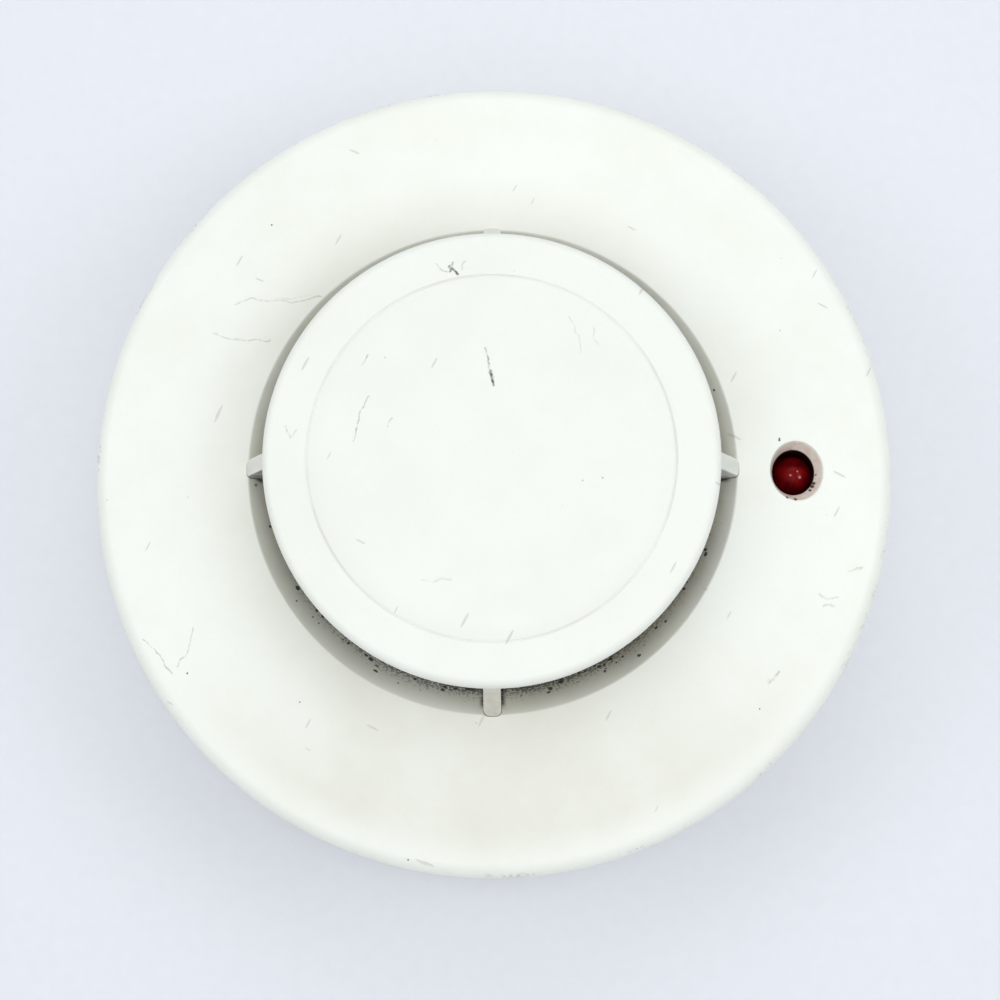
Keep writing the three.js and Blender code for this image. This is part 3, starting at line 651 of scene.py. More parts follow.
def chamber_soot_and_shade(shader, color):
    """A warm film, grime and soot specks inside the opening, denser towards its floor. The film's
    darkening towards the floor is partly painted shade, and round one place at -Y it is thinned as
    painted light.
    """
    radius = shader.radius()
    height, front = shader.part_of("Z"), shader.part_of("Y")
    inside = shader.fade(radius, LIP_RADIUS - 0.9 * MM, LIP_RADIUS - 0.3 * MM, 1.0, 0.0)
    below_lip = shader.fade(radius, LIP_RADIUS - 0.35 * MM, LIP_RADIUS - 0.05 * MM, 1.0, 0.0)
    # Painted shade and light: the film grows deeper down, under the cap, and is thinned round one
    # place at -Y.
    shallow = shader.fade(height, LIP_HEIGHT - 2.4 * MM, LIP_HEIGHT - 0.1 * MM, 0.75, 0.35)
    from_painted_light = shader.vector("DISTANCE", shader.flat_place(), PAINTED_LIGHT_AT)
    shallow = shader.product(shallow, shader.fade(from_painted_light, 4 * MM, 32 * MM, 0.1, 1.0))
    film = shader.mix(shader.fade(shader.noise(9 * MM, 5, 0.65), 0.35, 0.68, 0.3, 0.8), DUST_AND_SHADE, GRIME_AND_SHADE)
    color = shader.mix(shader.product(shallow, below_lip), color, film)
    depth = shader.fade(height, LIP_HEIGHT - 4 * MM, LIP_HEIGHT - 0.2 * MM, 1.0, 0.0)
    patches = shader.fade(shader.noise(22 * MM, 2, 0.5), 0.38, 0.6, 0.35, 1.0)
    patches = shader.most([patches, shader.fade(front, -30 * MM, 0.0, 1.0, 0.7)])
    density = shader.product(depth, inside, patches)
    grain = shader.math("ADD", shader.noise(0.32 * MM, 2, 0.6), shader.product(density, 0.3))
    fine = shader.product(shader.fade(grain, 0.65, 0.73), density)
    bold = shader.dots(0.7 * MM, 0.42 * MM, shader.product(density, 0.8))
    specks = [shader.product(fine, 0.9), shader.product(bold, 0.9)]
    specks.append(soot_and_shade_beside_ribs(shader))
    return shader.mix(shader.product(shader.most(specks), inside), color, SOOT_AND_SHADE)


def soot_and_shade_beside_ribs(shader):
    """Soot packed into the corners along the ribs, mostly on their side towards -Y; partly painted
    shade in those corners and on that side.
    """
    across = [shader.math("ABSOLUTE", shader.part_of(axis)) for axis in ("X", "Y")]
    beside = shader.math("MINIMUM", *across)
    band = shader.fade(beside, RIB_END_WIDTH / 2, RIB_END_WIDTH / 2 + 0.75 * MM, 1.0, 0.0)
    sheltered = shader.fade(shader.part_of("Y"), -0.5 * MM, 0.5 * MM, 1.0, 0.3)
    inward = shader.fade(shader.radius(), LIP_RADIUS - 1.6 * MM, LIP_RADIUS - 0.5 * MM, 1.0, 0.0)
    clumps = shader.fade(shader.noise(0.6 * MM, 3, 0.7), 0.34, 0.54, 0.4, 1.0)
    return shader.product(band, sheltered, inward, clumps)


def cap_plastic():
    layers = [scattered_marks, cap_marks, groove_shade, rib_dust_and_shade, rib_soot_and_shade]
    return plastic("cap_plastic", CAP_WHITE, CAP_AGED, layers)


def cap_marks(shader, color):
    return marked(shader, color, CAP_MARKS)


def rib_dust_and_shade(shader, color):
    """Beige dust on the ribs outside the cap, with much more on the rib at -Y as painted shade, since
    that rib faces away from the light.
    """
    low = shader.fade(shader.part_of("Z"), CAP_BOTTOM - 1 * MM, CAP_BOTTOM + 2 * MM, 1.0, 0.0)
    front = shader.fade(shader.part_of("Y"), -CAP_RADIUS, 0.0, 0.75, 0.12)
    grain = shader.fade(shader.noise(1.5 * MM, 4, 0.7), 0.25, 0.7, 0.6, 1.0)
    return shader.mix(shader.product(low, front, grain), color, DUST_AND_SHADE)


def rib_soot_and_shade(shader, color):
    """Soot on the side towards -Y of the two ribs along X, worse on the rib at -X; partly painted
    shade on that side, which faces away from the light.
    """
    across, along = shader.part_of("Y"), shader.part_of("X")
    side = -RIB_WIDTH / 2
    face = shader.fade(across, side, side + 0.1 * MM, 1.0, 0.0)
    near = shader.fade(across, side - 0.5 * MM, side - 0.3 * MM)
    outer = shader.fade(shader.math("ABSOLUTE", along), 8 * MM, 12 * MM)
    low = shader.fade(shader.part_of("Z"), CAP_BOTTOM - 1 * MM, CAP_BOTTOM + 0.6 * MM, 1.0, 0.0)
    worse = shader.fade(along, -10 * MM, 10 * MM, 0.75, 0.45)
    clumps = shader.fade(shader.noise(0.8 * MM, 3, 0.7), 0.3, 0.6, 0.55, 1.0)
    return shader.mix(shader.product(face, outer, near, low, worse, clumps), color, SOOT_AND_SHADE)


def groove_shade(shader, color):
    """Painted shade in the cap's fine ring, uneven along it."""
    away = shader.math("ABSOLUTE", shader.math("SUBTRACT", shader.radius(), CAP_GROOVE_RADIUS))
    ring = shader.fade(away, 0.04 * MM, 0.25 * MM, 1.0, 0.0)
    uneven = shader.fade(shader.noise(16 * MM, 3, 0.6), 0.35, 0.65, 0.03, 0.2)
    return shader.mix(shader.product(ring, uneven), color, GRIME_AND_SHADE)


def soot_and_shade_plastic():
    return plastic("soot_and_shade_plastic", COVER_AGED, GRIME_AND_SHADE, [chamber_soot_and_shade])


def chassis_plastic():
    return plastic("chassis_plastic", BASE_WHITE, BASE_AGED)


# ---------------------------------------------------------------- other materials


def lens_epoxy():
    shader = Shader("lamp_lens")
    cloud = shader.fade(shader.noise(1.6 * MM, 3, 0.6), 0.35, 0.65)
    color = shader.mix(cloud, rgb(116, 8, 12), rgb(72, 2, 6))
    # Painted highlights: small pink spots on the dome.
    painted_highlights = [shader.spot(x, y, radius * MM, 0.6) for x, y, radius in LENS_HIGHLIGHTS]
    color = shader.mix(shader.most(painted_highlights), color, LENS_HIGHLIGHT_PINK)
    # Painted light: a faint red emission brightens the lens.
    return shader.finish(
        color, 0.12, Specular_IOR_Level=0.07, Emission_Color=rgb(74, 4, 7), Emission_Strength=0.12
    )


def metal(name, color, roughness, size=0.6 * MM):
    """Stamped or turned metal with a faint unevenness and dull patches."""
    shader = Shader(name)
    dull = tuple(0.62 * v for v in color[:3]) + (1.0,)
    patches = shader.fade(shader.noise(size * 4, 4, 0.6), 0.35, 0.75, 0.0, 0.45)
    shader.bump(shader.noise(size, 3, 0.6), 0.004 * MM, 0.5)
    gloss = shader.fade(shader.noise(size * 2, 3, 0.6), 0.3, 0.7, roughness - 0.06, roughness + 0.1)
    return shader.finish(shader.mix(patches, color, dull), gloss, Metallic=1.0)


def dull_solid(name, color, roughness, size, contrast=0.25):
    """Rubber, moulding compound, paper: one tone with fine grain."""
    shader = Shader(name)
    darker = tuple((1 - contrast) * v for v in color[:3]) + (1.0,)
    grain = shader.noise(size, 4, 0.65)
    shader.bump(grain, 0.01 * MM, 0.5)
    gloss = shader.fade(grain, 0.3, 0.7, roughness - 0.05, roughness + 0.08)
    return shader.finish(shader.mix(grain, color, darker), gloss)


def tracks_along(shader, axis, pitch):
    """Parallel copper tracks at a pitch, counted along an axis."""
    place = shader.math("FRACT", shader.math("DIVIDE", shader.part_of(axis), pitch))
    away = shader.math("ABSOLUTE", shader.math("SUBTRACT", place, 0.5))
    return shader.fade(away, 0.14, 0.2, 1.0, 0.0)


def board_laminate():
    """Green solder mask over copper tracks, with tinned pads."""
    shader = Shader("board_laminate")
    region = shader.fade(shader.noise(11 * MM, 1, 0.4), 0.49, 0.5)
    pour = shader.fade(shader.noise(16 * MM, 1, 0.4), 0.55, 0.56)
    lengthways = shader.product(tracks_along(shader, "Y", 1.27 * MM), region)
    crossways = shader.math("SUBTRACT", tracks_along(shader, "X", 1.27 * MM), region, clamp=True)
    copper = shader.most([lengthways, crossways, pour])
    color = shader.mix(copper, rgb(18, 74, 46), rgb(34, 104, 64))
    pads = shader.dots(2.5 * MM, 0.5 * MM, 0.35)
    color = shader.mix(pads, color, rgb(176, 178, 180))
    shader.bump(copper, 0.03 * MM, 0.5)
    weave = shader.noise(0.4 * MM, 2, 0.5)
    return shader.finish(color, shader.fade(weave, 0.3, 0.7, 0.35, 0.5))


def build_materials():
    return {
        "cover_plastic": cover_plastic(),
        "cap_plastic": cap_plastic(),
        "soot_and_shade_plastic": soot_and_shade_plastic(),
        "chassis_plastic": chassis_plastic(),
        "lamp_lens": lens_epoxy(),
        "bead_epoxy": dull_solid("bead_epoxy", rgb(44, 36, 30), 0.35, 0.4 * MM),
        "sleeve_plastic": dull_solid("sleeve_plastic", rgb(228, 222, 204), 0.6, 0.5 * MM, 0.1),
        "board_laminate": board_laminate(),
        "component_black": dull_solid("component_black", rgb(30, 30, 32), 0.55, 0.25 * MM),
        "capacitor_can": metal("capacitor_can", rgb(196, 200, 204), 0.3),
        "nickel_plate": metal("nickel_plate", rgb(206, 202, 192), 0.26),
        "terminal_brass": metal("terminal_brass", rgb(206, 172, 98), 0.3),
        "screw_steel": metal("screw_steel", rgb(190, 192, 196), 0.32),
        "seal_rubber": dull_solid("seal_rubber", rgb(34, 34, 36), 0.8, 0.6 * MM),
        "label_film": dull_solid("label_film", rgb(206, 208, 210), 0.45, 0.8 * MM, 0.08),
    }


# ---------------------------------------------------------------- cover

RIM_CENTRE = (COVER_RADIUS - EDGE_ROUND, RIM_HEIGHT)
LIP_CENTRE = (LIP_RADIUS, LIP_HEIGHT - LIP_ROUND)


def slope_between(low, low_round, high, high_round):
    """Angle of the straight line that touches two roundings from above, in radians."""
    run, rise = low[0] - high[0], high[1] - low[1]
    return math.atan2(rise, run) - math.asin((low_round - high_round) / math.hypot(run, rise))


FACE_SLOPE = slope_between(RIM_CENTRE, EDGE_ROUND, LIP_CENTRE, LIP_ROUND)
FACE_OUTER_R = RIM_CENTRE[0] + EDGE_ROUND * math.sin(FACE_SLOPE)
FACE_OUTER_Z = RIM_CENTRE[1] + EDGE_ROUND * math.cos(FACE_SLOPE)
# Inside the lip the funnel starts gently, towards this point, and then steepens to the floor's edge.
SHELF = (LIP_RADIUS - 1.9 * MM, LIP_HEIGHT - 0.95 * MM)
SHELF_RUN = LIP_CENTRE[0] - SHELF[0]
SHELF_RISE = LIP_CENTRE[1] - SHELF[1]
FUNNEL_SLOPE = math.atan2(SHELF_RISE, SHELF_RUN) + math.asin(
    LIP_ROUND / math.hypot(SHELF_RUN, SHELF_RISE)
)
LEDGE_BOTTOM = FLOOR_TOP - 2 * MM
FLANGE_RADIUS = 28.8 * MM
COVER_BOSS_RADIUS = 3.2 * MM
COVER_BOSS_BOTTOM = 16.3 * MM
COVER_PILOT_DEPTH = 7 * MM
COVER_SCREW_CIRCLE = 43 * MM
COVER_SCREW_ANGLE = 20
SCREW_HOLE = 1.6 * MM


def face_height(radius):
    return FACE_OUTER_Z + (FACE_OUTER_R - radius) * math.tan(FACE_SLOPE)


LAMP_FACE = face_height(LAMP_X)  # height of the cover's face at the lamp


def underside_height(radius):
    return face_height(radius) - WALL / math.cos(FACE_SLOPE)


def cover_profile():
    slope, funnel = math.degrees(FACE_SLOPE), math.degrees(FUNNEL_SLOPE)
    skirt = COVER_RADIUS - SKIRT_DRAFT
    corner = 0.4 * MM
    outer_rounding = arc(RIM_CENTRE, EDGE_ROUND, 0, 90 - slope, 14)
    lip_rounding = arc(LIP_CENTRE, LIP_ROUND, 90 - slope, 90 + funnel, 10)
    floor_edge = (FLOOR_RADIUS, FLOOR_TOP)
    lip_back = LIP_RADIUS + 1.2 * MM
    inner = COVER_RADIUS - WALL
    return [
        *outer_bottom(skirt, SKIRT_BOTTOM, corner, 4),
        *divided((skirt, SKIRT_BOTTOM + corner), outer_rounding[0], 4),
        *outer_rounding,
        *divided(outer_rounding[-1], lip_rounding[0], 16),
        *lip_rounding,
        *bend(lip_rounding[-1], SHELF, floor_edge, 14),
        floor_edge,
        (FLOOR_RADIUS, LEDGE_BOTTOM),
        (FLANGE_RADIUS, LEDGE_BOTTOM),
        (lip_back, underside_height(lip_back)),
        (inner - 0.6 * MM, underside_height(inner - 0.6 * MM)),
        (inner, RIM_HEIGHT - 0.8 * MM),
        (skirt - WALL, SKIRT_BOTTOM),
    ]


def light_tube():
    top = underside_height(LAMP_X) + OVERLAP
    return rod(LIGHT_HOLE + LIGHT_TUBE_WALL, LIGHT_TUBE_BOTTOM, top, (LAMP_X, 0))


def lamp_cuts():
    """A straight hole for the lamp, and a funnel square to the sloping face with a rounded mouth."""
    bore = rod(LIGHT_HOLE, LIGHT_HOLE_BOTTOM, LAMP_FACE, segments=96)
    bore.data.transform(Matrix.Diagonal((1, LIGHT_HOLE_STRETCH, 1, 1)))
    moved(bore, LIGHT_HOLE_X, 0)
    mouth_round = 0.35 * MM
    bottom, top = -FUNNEL_DEPTH - 0.6 * MM, 2 * MM
    wall = math.degrees(math.atan2(FUNNEL_DEPTH, FUNNEL_MOUTH - LIGHT_HOLE))
    centre = (FUNNEL_MOUTH + mouth_round * 0.7, -mouth_round)
    rounding = arc(centre, mouth_round, 180 - (90 - wall), 90, 6)
    profile = [
        (0, bottom),
        (LIGHT_HOLE - 0.24 * MM, bottom),
        *rounding,
        (centre[0], top),
        (0, top),
    ]
    funnel = turned("funnel", profile, 96)
    narrower = Matrix.Diagonal((0.93, 1, 1, 1))
    at = Matrix.Translation((LAMP_X + 0.1 * MM, 0, LAMP_FACE))
    funnel.data.transform(at @ Matrix.Rotation(FACE_SLOPE, 4, "Y") @ narrower)
    return bore, funnel


def build_cover():
    cover = turned("cover_shell", cover_profile())
    at = (COVER_SCREW_CIRCLE, 0)
    foot, root = COVER_BOSS_BOTTOM, underside_height(COVER_SCREW_CIRCLE) + SUNK
    bosses = four_rods(COVER_BOSS_RADIUS, foot, root, at, COVER_SCREW_ANGLE)
    pilots = four_rods(SCREW_HOLE, foot - OVERLAP, foot + COVER_PILOT_DEPTH, at, COVER_SCREW_ANGLE)
    bore, funnel = lamp_cuts()
    carved(cover, joined=[light_tube(), *bosses], cut=[bore, *pilots])
    carved(cover, cut=[funnel])
    carved(cover, cut=quarters(lambda: rib_body(NOTCH_GAP)))
    place(cover, "cover_shell", "head", "cover_plastic", "outer_cover")


# ---------------------------------------------------------------- cap and its ribs

CAP_UNDERSIDE = CAP_TOP - CAP_THICKNESS
CAP_BOTTOM = CAP_TOP - CAP_SIDE
CAP_BOSS_RADIUS = 2.7 * MM
CAP_PILOT_TOP = 37 * MM


def rib_body(allowance=0.0):
    """One rib along +X, grown by an allowance on every side for the notch that takes it."""
    end = RIB_END_RADIUS + allowance
    top = LIP_HEIGHT + 0.2 * MM + allowance
    bottom = RIB_BOTTOM - allowance
    heel = FLOOR_RADIUS - 0.1 * MM
    under_cap = CAP_RADIUS - 0.2 * MM
    root = CAP_UNDERSIDE + 0.2 * MM
    side = [
        (RIB_INNER, bottom),
        (heel, bottom),
        (heel + 1.7 * MM, bottom + 1.8 * MM),
        (end, LIP_HEIGHT - 1 * MM - allowance),
        (end, top),
        (under_cap, CAP_BOTTOM + 1.1 * MM + allowance),
        (under_cap, root),
        (RIB_INNER, root),
    ]
    web = extruded("rib", side, -RIB_END_WIDTH, RIB_END_WIDTH, UPRIGHT)
    near, far = RIB_WIDTH / 2 + allowance, RIB_END_WIDTH / 2 + allowance
    corner = 0.7 * MM
    plan = [
        (RIB_INNER - OVERLAP, -near),
        (FLOOR_RADIUS, -near),
        *arc((end - corner, corner - far), corner, -90, 0, 6),
        *outer_top(end, far, corner, 6),
        (FLOOR_RADIUS, near),
        (RIB_INNER - OVERLAP, near),
    ]
    combine(web, [extruded("plan", plan, FLOOR_TOP - 3 * MM, CAP_TOP)], "INTERSECT")
    return web if allowance else bevelled(web, RIB_EDGE_ROUND, 35)


def cap_profile():
    fall = 0.15 * MM  # the border outside the groove slopes down a little
    groove_half, groove_depth = 0.2 * MM, 0.1 * MM
    edge = (CAP_RADIUS - CAP_EDGE_ROUND, CAP_TOP - fall - CAP_EDGE_ROUND)
    rounding = arc(edge, CAP_EDGE_ROUND, 0, 90, 12)
    groove_start = (CAP_GROOVE_RADIUS + groove_half, CAP_TOP)
    foot = 0.25 * MM
    return [
        (0, CAP_UNDERSIDE),
        (CAP_RADIUS - CAP_WALL - 0.8 * MM, CAP_UNDERSIDE),
        (CAP_RADIUS - CAP_WALL - 0.2 * MM, CAP_UNDERSIDE - 0.6 * MM),
        (CAP_RADIUS - CAP_WALL, CAP_BOTTOM + foot),
        *inner_bottom(CAP_RADIUS - CAP_WALL, CAP_BOTTOM, foot, 4),
        *outer_bottom(CAP_RADIUS - 0.05 * MM, CAP_BOTTOM, foot, 4),
        *rounding,
        *divided(rounding[-1], groove_start, 6),
        groove_start,
        *arc((CAP_GROOVE_RADIUS, CAP_TOP), groove_depth, -30, -150, 4),
        (CAP_GROOVE_RADIUS - groove_half, CAP_TOP),
        *divided((CAP_GROOVE_RADIUS - groove_half, CAP_TOP), (0, CAP_TOP), 10),
        (0, CAP_TOP),
    ]


def build_cap():
    cap = turned("cap_shell", cap_profile())
    at = (RIB_SCREW_RADIUS, 0)
    carved(cap, joined=quarters(rib_body))
    bosses = four_rods(CAP_BOSS_RADIUS, RIB_BOTTOM, CAP_UNDERSIDE + SUNK, at)
    pilots = four_rods(SCREW_HOLE, RIB_BOTTOM - OVERLAP, CAP_PILOT_TOP, at)
    carved(cap, joined=bosses, cut=pilots)
    place(cap, "cap_shell", "head", "cap_plastic", "sensor_cap")


# ---------------------------------------------------------------- chamber floor and thermistor

TOWER_RADIUS = 3.6 * MM
TOWER_TOP = floor_high.z
TOWER_BORE = 2.1 * MM
FLOOR_COLLAR = 24.4 * MM
SLEEVE_BORE = 1.05 * MM


def build_chamber_floor():
    plate_bottom = FLOOR_TOP - FLOOR_THICKNESS
    flange_top = LEDGE_BOTTOM - GAP
    flange_bottom = flange_top - 1.5 * MM
    collar = FLOOR_COLLAR
    flange = FLANGE_RADIUS - GAP
    plate = FLOOR_RADIUS - GAP
    soft = 0.3 * MM
    foot = 1.2 * MM
    profile = [
        (TOWER_BORE, plate_bottom),
        (collar, plate_bottom),
        (collar, flange_bottom),
        (flange, flange_bottom),
        (flange, flange_top),
        (plate, flange_top),
        *outer_top(plate, FLOOR_TOP, soft, 4),
        *divided((plate - soft, FLOOR_TOP), (TOWER_RADIUS + foot, FLOOR_TOP), 8),
        *arc((TOWER_RADIUS + foot, FLOOR_TOP + foot), foot, 270, 180, 8),
        *outer_top(TOWER_RADIUS - 0.2 * MM, TOWER_TOP, soft, 4),
        (TOWER_BORE, TOWER_TOP),
    ]
    body = turned("chamber_bowl", profile)
    at = (RIB_SCREW_RADIUS, 0)
    carved(body, cut=four_rods(SCREW_HOLE, plate_bottom - OVERLAP, FLOOR_TOP + OVERLAP, at))
    place(body, "chamber_bowl", "head", "soot_and_shade_plastic", "chamber_floor", slot="chassis_plastic")


def build_thermistor():
    """A dipped bead on two leads, in an insulating sleeve."""
    bead_radius = bead_high.x
    bead_centre = bead_high.z - bead_radius
    drop = [
        (0, bead_low.z),
        (bead_radius * 0.45, bead_low.z + 0.12 * bead_radius),
        *arc((0, bead_centre), bead_radius, -38, 90, 14),
    ]
    bead = turned("bead", drop[:-1] + [(0, bead_high.z)], 48)
    place(bead, "bead", "head", "bead_epoxy", "thermistor_bead")
    outer, bore = sleeve_high.x, SLEEVE_BORE
    soft = 0.15 * MM
    profile = [
        (bore, sleeve_low.z),
        (outer, sleeve_low.z),
        *outer_top(outer, sleeve_high.z, soft, 4),
        *inner_top(bore, sleeve_high.z, soft, 4),
    ]
    sleeve = turned("sleeve", profile, 64)
    place(sleeve, "sleeve", "head", "sleeve_plastic", "thermistor_sleeve")


# ---------------------------------------------------------------- lamp


def build_lamp():
    """A 5 mm lamp: dome, barrel and a flange."""
    shoulder = lamp_high.z - LENS_RADIUS
    flange = lamp_high.x - LAMP_X
    flange_top = lamp_low.z + 1 * MM
    soft = 0.12 * MM
    profile = [
        (0, lamp_low.z),
        (flange, lamp_low.z),
        *outer_top(flange, flange_top, soft, 3),
        (LENS_RADIUS, flange_top),
        *divided((LENS_RADIUS, flange_top), (LENS_RADIUS, shoulder), 3),
        *arc((0, shoulder), LENS_RADIUS, 0, 90, 20)[:-1],
        (0, lamp_high.z),
    ]
    lens = turned("lens", profile, 96)
    place(moved(lens, LAMP_X, 0), "lens", "head", "lamp_lens", "indicator_lamp")


# ---------------------------------------------------------------- base

BASE_RADIUS = base_high.x
BASE_HEIGHT = 9 * MM
BASE_FLOOR = 2.2 * MM
SPIGOT_OUTER = 47.6 * MM
SPIGOT_INNER = 45.9 * MM
SPIGOT_TOP = base_high.z
CABLE_HOLE = 12 * MM
CONTACT_CIRCLE = 34 * MM
CONTACT_ANGLE = 45
TERMINAL_Y = -16.5 * MM
FIXING_SLOT_ENDS = (24 * MM, 36 * MM)  # from the axis
FIXING_SLOT_WIDTH = 4 * MM
PEDESTAL_WIDTH = 7 * MM
PEDESTAL_Y = (TERMINAL_Y - 4 * MM, -7.5 * MM)
PEDESTAL_TOP = 3.4 * MM
TAPPED_HOLE = 1.8 * MM
TAPPED_HOLE_BOTTOM = 1 * MM
LOCK_ANGLE = 242
LOCK_HEIGHT = 6 * MM
LOCK_BOSS_RADIUS = 3.2 * MM
LOCK_BOSS_INNER = 40 * MM
LOCK_SCREW_INNER = 40.6 * MM
LOCK_SCREW_SUNK = 0.8 * MM
SOCKET_RADIUS = 0.8 * MM
SOCKET_DEPTH = 1.8 * MM


def base_profile():
    soft = 0.5 * MM
    fine = 0.2 * MM
    curb, curb_top = CABLE_HOLE + 1.5 * MM, BASE_FLOOR + 1.4 * MM
    return [
        (CABLE_HOLE + fine, 0),
        (BASE_RADIUS - soft, 0),
        *arc((BASE_RADIUS - soft, soft), soft, -90, 0, 5)[1:],
        *outer_top(BASE_RADIUS, BASE_HEIGHT, fine, 3),
        (SPIGOT_OUTER, BASE_HEIGHT),
        *outer_top(SPIGOT_OUTER, SPIGOT_TOP, fine, 3),
        *inner_top(SPIGOT_INNER, SPIGOT_TOP, fine, 3),
        (SPIGOT_INNER, BASE_FLOOR),
        (curb, BASE_FLOOR),
        *outer_top(curb, curb_top, fine, 3),
        (CABLE_HOLE, curb_top),
        (CABLE_HOLE, fine),
    ]


def box_piece(x, y, z):
    """A block between two limits each way."""
    outline = [(x[0], y[0]), (x[1], y[0]), (x[1], y[1]), (x[0], y[1])]
    return extruded("block", outline, *z)


def fixing_slot():
    """A slot for a fixing screw, along +X."""
    half = FIXING_SLOT_WIDTH / 2
    near, far = FIXING_SLOT_ENDS
    ends = arc((far - half, 0), half, -90, 90, 16) + arc((near + half, 0), half, 90, 270, 16)
    return extruded("slot", ends, -OVERLAP, BASE_FLOOR + OVERLAP)


def along_lock_axis(piece):
    """Lays an upright piece along the lock screw's axis, with its top outwards."""
    lift = Matrix.Translation((0, 0, LOCK_HEIGHT))
    piece.data.transform(about_z(LOCK_ANGLE) @ lift @ Matrix.Rotation(math.pi / 2, 4, "Y"))
    return piece


def build_base():
    base = turned("base_plate", base_profile())
    half = PEDESTAL_WIDTH / 2
    screw_at = (CONTACT_CIRCLE, TERMINAL_Y)

    def pedestal():
        block = box_piece(
            (CONTACT_CIRCLE - half, CONTACT_CIRCLE + half),
            PEDESTAL_Y,
            (BASE_FLOOR - SUNK, PEDESTAL_TOP),
        )
        return bevelled(block, 0.2 * MM)

    low, high = TAPPED_HOLE_BOTTOM, PEDESTAL_TOP + OVERLAP
    screw_holes = four_rods(TAPPED_HOLE, low, high, screw_at, CONTACT_ANGLE)
    lock_boss = along_lock_axis(rod(LOCK_BOSS_RADIUS, LOCK_BOSS_INNER, SPIGOT_INNER + OVERLAP))
    lock_hole = along_lock_axis(rod(TAPPED_HOLE, LOCK_BOSS_INNER - OVERLAP, BASE_RADIUS + OVERLAP))
    carved(
        base,
        joined=[lock_boss, *quarters(pedestal, CONTACT_ANGLE)],
        cut=[lock_hole, *screw_holes, *quarters(fixing_slot)],
    )
    place(base, "base_plate", "base", "chassis_plastic", "mounting_base")


# ---------------------------------------------------------------- screws

SHANK = 1.3 * MM
TERMINAL_SHANK = 1.5 * MM
SCREW_HEAD = 2.4 * MM
TERMINAL_HEAD = 2.8 * MM
# Self-tapping screws, with the height of their heads.
TAPPING_SCREWS = {"cap_screw": 1.4 * MM, "cover_screw": 1.1 * MM, "blade_screw": 1.2 * MM}
TERMINAL_HEAD_HEIGHT = 1.6 * MM
THREAD_PITCH = 0.8 * MM


def thread(radius, start, end):
    """Profile of a thread's ridges, from one height to another."""
    turns = int((end - start) / THREAD_PITCH)
    core = radius * 0.78
    points = []
    for i in range(turns):
        low = start + i * THREAD_PITCH
        points += [(core, low + 0.1 * THREAD_PITCH), (radius, low + 0.5 * THREAD_PITCH)]
        points.append((core, low + 0.9 * THREAD_PITCH))
    return points


def screw(head_radius, head_height, length, shank, recess_angle):
    """A pan-headed screw with a cross recess. Its head rests on z = 0 and its tip points up."""
    rounding = head_height * 0.55
    centre = (head_radius - rounding, rounding)
    profile = [
        (0, 0),
        *arc(centre, rounding, -90, 0, 6),
        (head_radius, head_height),
        (shank, head_height),
        *thread(shank, head_height + 0.4 * MM, length - 1 * MM),
        (shank * 0.3, length),
        (0, length),
    ]
    body = turned("screw", profile, 32)
    half, reach, depth = 0.28 * MM, head_radius * 0.6, head_height * 0.6
    cross = [
        box_piece((-reach, reach), (-half, half), (-OVERLAP, depth)),
        box_piece((-half, half), (-reach, reach), (-OVERLAP, depth * 0.98)),
    ]
    for arm in cross:
        arm.data.transform(about_z(recess_angle))
        carved(body, cut=[arm])
    return body


def axis_of(node):
    """Place of an upright CAD piece's axis and its lowest and highest point."""
    low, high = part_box(node)
    return (low + high) / 2, low.z, high.z


def build_screws():
    for kind, head_height in TAPPING_SCREWS.items():
        for i in QUARTER_TURNS:
            node = f"{kind}_{i + 1}"
            centre, low, high = axis_of(node)
            piece = screw(SCREW_HEAD, head_height, high - low, SHANK, 37 * i + 10)
            moved(piece, centre.x, centre.y, low)
            place(piece, f"{node}_body", "head", "screw_steel", node, crisp=SMALL_CRISP)
    head_down = Matrix.Rotation(math.pi, 4, "X")
    for i in QUARTER_TURNS:
        node = f"terminal_screw_{i + 1}"
        centre, low, high = axis_of(node)
        piece = screw(TERMINAL_HEAD, TERMINAL_HEAD_HEIGHT, high - low, TERMINAL_SHANK, 53 * i + 20)
        piece.data.transform(Matrix.Translation((centre.x, centre.y, high)) @ head_down)
        place(piece, f"{node}_body", "base", "terminal_brass", node, crisp=SMALL_CRISP)


def build_lock_screw():
    """A grub screw with a hexagon socket."""
    outer = BASE_RADIUS - LOCK_SCREW_SUNK
    body = rod(TERMINAL_SHANK, LOCK_SCREW_INNER, outer, segments=32)
    hexagon = arc((0, 0), SOCKET_RADIUS, 0, 300, 5)
    carved(body, cut=[extruded("socket", hexagon, outer - SOCKET_DEPTH, outer + OVERLAP)])
    along_lock_axis(body)
    place(body, "lock_screw_body", "base", "screw_steel", "lock_screw", crisp=SMALL_CRISP)


# ---------------------------------------------------------------- contacts, chassis and seal

# Pieces bent or stamped from sheet: their CAD shape with its edges softened.
SHEET_PIECES = [
    ("contact_blade", "head", "nickel_plate"),
    ("contact_spring", "base", "nickel_plate"),
    ("terminal_plate", "base", "terminal_brass"),
    ("wire_clamp", "base", "screw_steel"),
]
SHEET_ROUND = 0.1 * MM


def build_sheet_pieces():
    for kind, body, finish in SHEET_PIECES:
        for i in QUARTER_TURNS:
            node = f"{kind}_{i + 1}"
            piece = bevelled(copied(node), SHEET_ROUND, 40, 2)
            place(piece, f"{node}_sheet", body, finish, node, crisp=SMALL_CRISP)


CHASSIS_RADIUS = chassis_high.x
CHASSIS_BOTTOM = chassis_low.z
CHASSIS_TOP = CHASSIS_BOTTOM + 2 * MM
CHASSIS_RIM_TOP = COVER_BOSS_BOTTOM - GAP
BLADE_SCREW_AT = (CONTACT_CIRCLE, 7.6 * MM)
PILLAR_RADIUS = 2.9 * MM
CHASSIS_BOSS_RADIUS = 4 * MM
RECESS_DEPTH = 1.2 * MM


